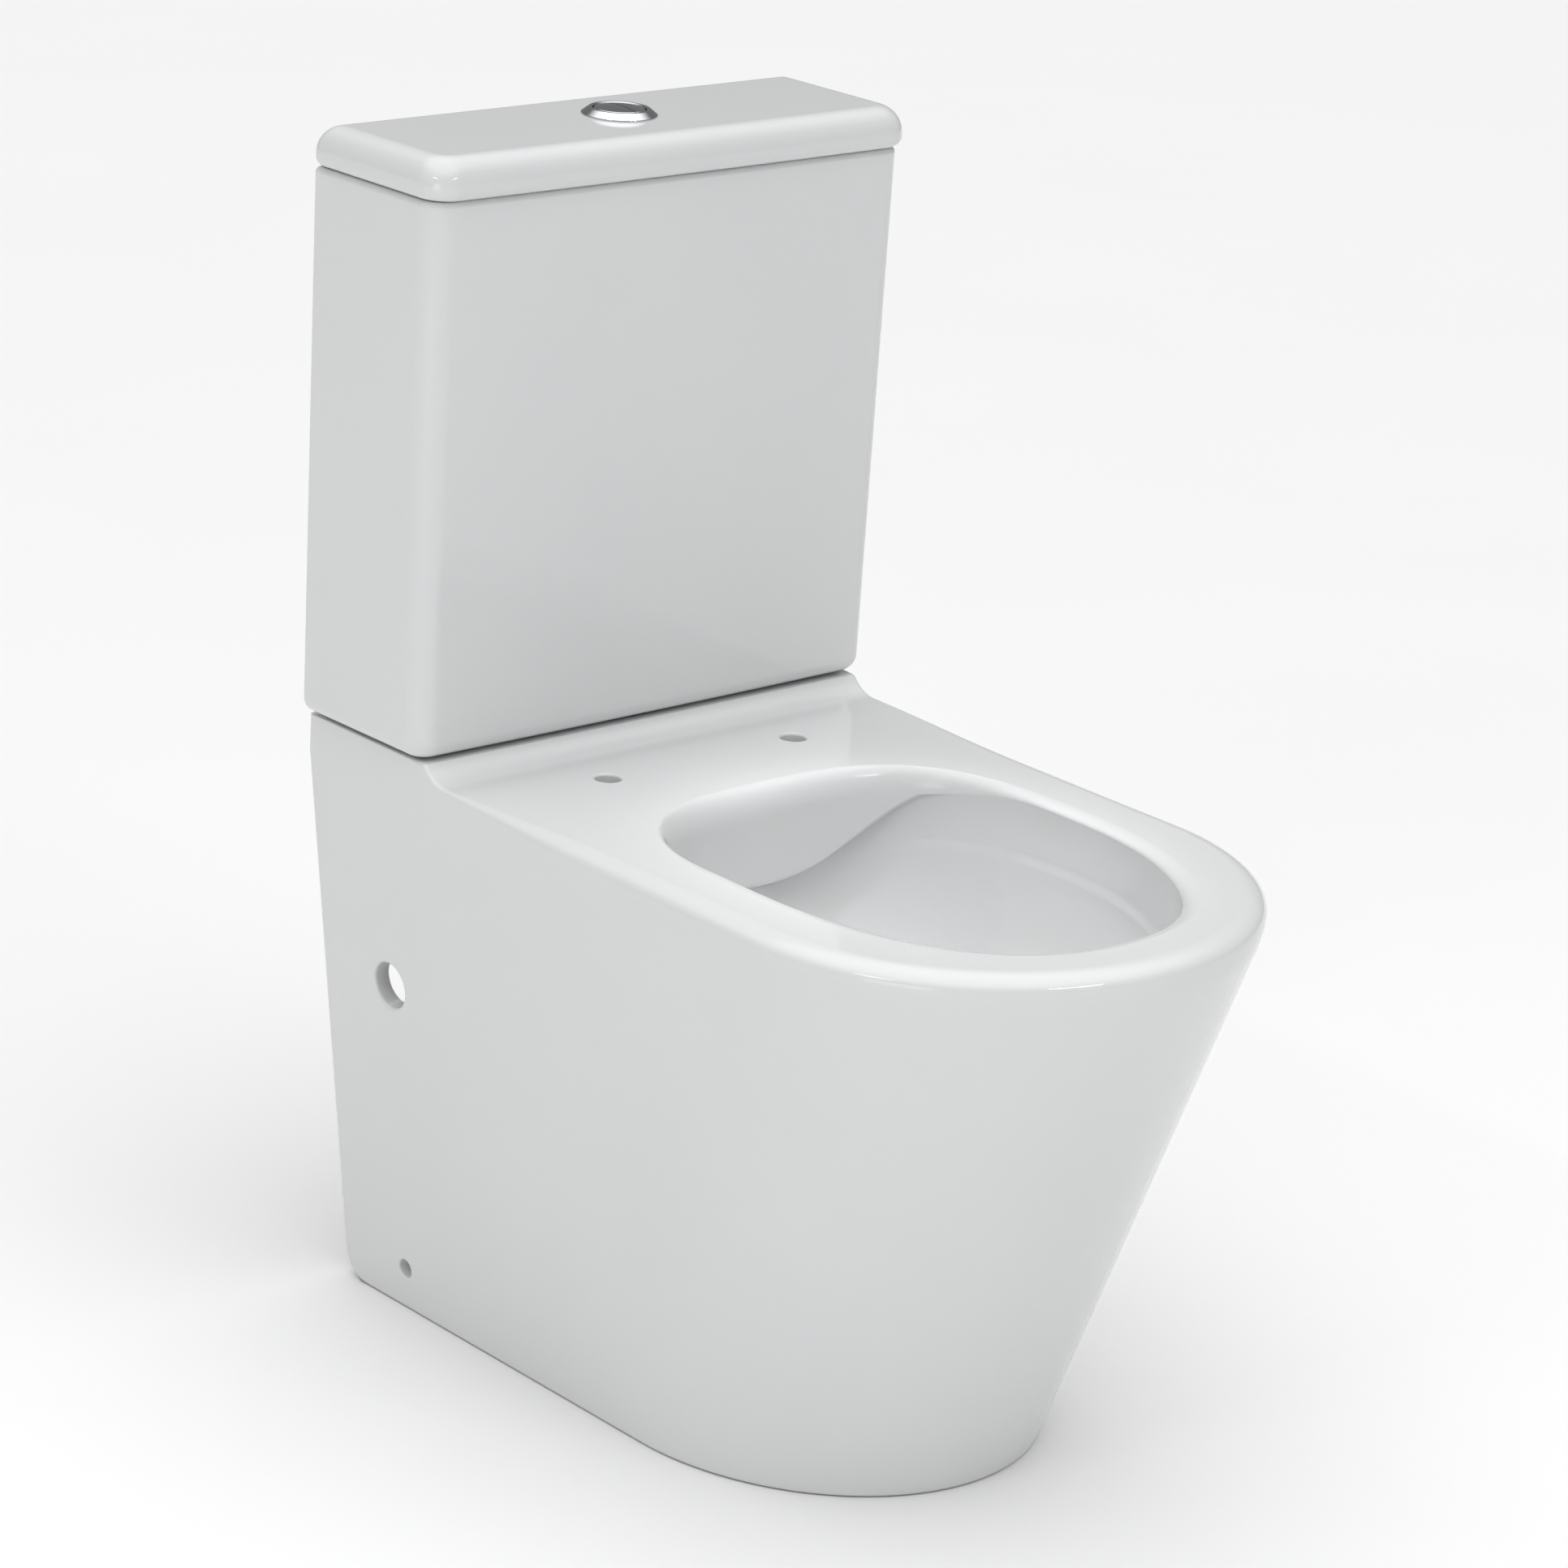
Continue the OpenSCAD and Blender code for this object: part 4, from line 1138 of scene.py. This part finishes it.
@dataclass
class Studio:
    """A pale floor, soft lights and the camera."""

    azimuth: float = -42.5
    elevation: float = 18.85
    roll: float = 3.64
    distance: float = 3.31108
    target: tuple[float, float, float] = (0.01116, 0.0605, 0.39983)
    lens: float = 117.16
    horizon: float = 0.2
    zenith: float = 2.0
    backdrop_white: float = 0.93
    lights: tuple[SoftBox, ...] = (
        SoftBox("key_left", (-2.6, -1.3, 0.72), (0, 0, 0.35), (1.3, 1.0), 8),
        SoftBox("strip_front", (0.2, -2.3, 2.0), (0, -0.1, 0.4), (0.9, 0.05), 7),
        SoftBox("strip_left", (-2.2, -0.6, 2.1), (0, -0.1, 0.4), (0.7, 0.05), 5),
        SoftBox("bowl_fill", (0, -0.08, 2.4), (0, -0.08, 0.3), (0.1, 0.16), 0.13, 9, False),
    )

    def camera(self) -> None:
        """Places the camera on its sight line, level but for its roll."""
        a, e, roll = (math.radians(v) for v in (self.azimuth, self.elevation, self.roll))
        back = Vector((math.sin(a) * math.cos(e), -math.cos(a) * math.cos(e), math.sin(e)))
        right = Vector((math.cos(a), math.sin(a), 0))
        up = back.cross(right)
        turned_right = right * math.cos(roll) + up * math.sin(roll)
        turned_up = up * math.cos(roll) - right * math.sin(roll)
        data = bpy.data.cameras.new("camera")
        data.lens = self.lens
        data.sensor_width = 36
        data.clip_end = 50
        made = bpy.data.objects.new("camera", data)
        turn = Matrix((turned_right, turned_up, back)).transposed().to_4x4()
        made.matrix_world = Matrix.Translation(Vector(self.target) + back * self.distance) @ turn
        bpy.context.scene.collection.objects.link(made)
        bpy.context.scene.camera = made

    def floor(self) -> None:
        """A wide plain floor under the object."""
        side, z = 9000, -0.5
        ring = np.array([[-side, -side, z], [side, -side, z], [side, side, z], [-side, side, z]], float)
        made = mesh_piece("studio_floor", ring, [[0, 1, 2, 3]])
        made.data.materials.append(SWEEP.material())

    def backdrop(self) -> None:
        """A white surround of strength horizon + (zenith - horizon) smoothstep(z), z = 0.5 to 0.95.

        Seen straight, behind the floor, it is one even white.
        """
        world = bpy.data.worlds.new("white_surround")
        world.use_nodes = True
        tree = world.node_tree
        way = add_node(tree, "ShaderNodeTexCoord")
        parts = add_node(tree, "ShaderNodeSeparateXYZ", links={0: way.outputs["Generated"]})
        strength = add_node(
            tree, "ShaderNodeMapRange", {"interpolation_type": "SMOOTHSTEP"}, {0: parts.outputs["Z"]},
            {1: 0.5, 2: 0.95, 3: self.horizon, 4: self.zenith},
        )
        seen = add_node(tree, "ShaderNodeLightPath")
        shown = add_node(
            tree, "ShaderNodeMix", {"data_type": "FLOAT"},
            {0: seen.outputs["Is Camera Ray"], 2: strength.outputs[0]}, {3: self.backdrop_white},
        )
        background = tree.nodes["Background"]
        background.inputs["Color"].default_value = (1, 1, 1, 1)
        tree.links.new(shown.outputs[0], background.inputs["Strength"])
        bpy.context.scene.world = world

    def build(self) -> None:
        """Makes the floor, the surround, the lights and the camera."""
        bpy.context.scene.view_settings.view_transform = "Standard"
        self.backdrop()
        self.floor()
        for light in self.lights:
            light.build()
        self.camera()


# ---------- the whole ----------


def settle(piece: bpy.types.Object, body: str, finish: Finish, slot: str, *nodes: str) -> None:
    """Dresses a piece, makes it ride on a body and stand for CAD nodes, and reports it."""
    dress(piece, finish)
    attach(piece, body)
    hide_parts(*nodes)
    LOG.info("%s: %d faces, rides on %s", piece.name, len(piece.data.polygons), body)


def main() -> None:
    """Builds every piece in order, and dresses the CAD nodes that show."""
    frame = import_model()
    wall_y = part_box("pan")[1].y / MM
    axis = (0.0, wall_y - VALVE_D)

    settle(Pan(wall_y).build(), "suite", CHINA, "white_china", "pan")
    settle(Cistern(wall_y).build(), "suite", CHINA, "white_china", "cistern_tank")
    settle(Lid(wall_y).build(), "lid", CHINA, "white_china", "cistern_lid")
    button = PushButton(axis)
    settle(button.bezel(), "lid", CHROME, "chrome_plate", "button_bezel")
    settle(button.half(1, "button_full_chromed"), "full_button", CHROME, "chrome_plate", "button_full")
    settle(button.half(-1, "button_half_chromed"), "half_button", CHROME, "chrome_plate", "button_half")
    for side, word in ((1, "full"), (-1, "half")):
        coil = button.spring(side, f"spring_{word}_wire")
        settle(coil, "lid", STEEL, "stainless_steel", f"spring_{word}")
        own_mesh(coil)

    slots = {part["node"]: part["material_slot"] for part in frame["record"]["subparts"]}
    for name, node in frame["nodes"].items():
        if not node.hide_render:
            node.data.materials.clear()
            node.data.materials.append(SLOT_FINISH[slots[name]].material())
            LOG.info("%s: dressed as %s", name, slots[name])

    Studio().build()


if __name__ == "__main__":
    logging.basicConfig(level=logging.INFO, format="%(name)s: %(message)s")
    main()
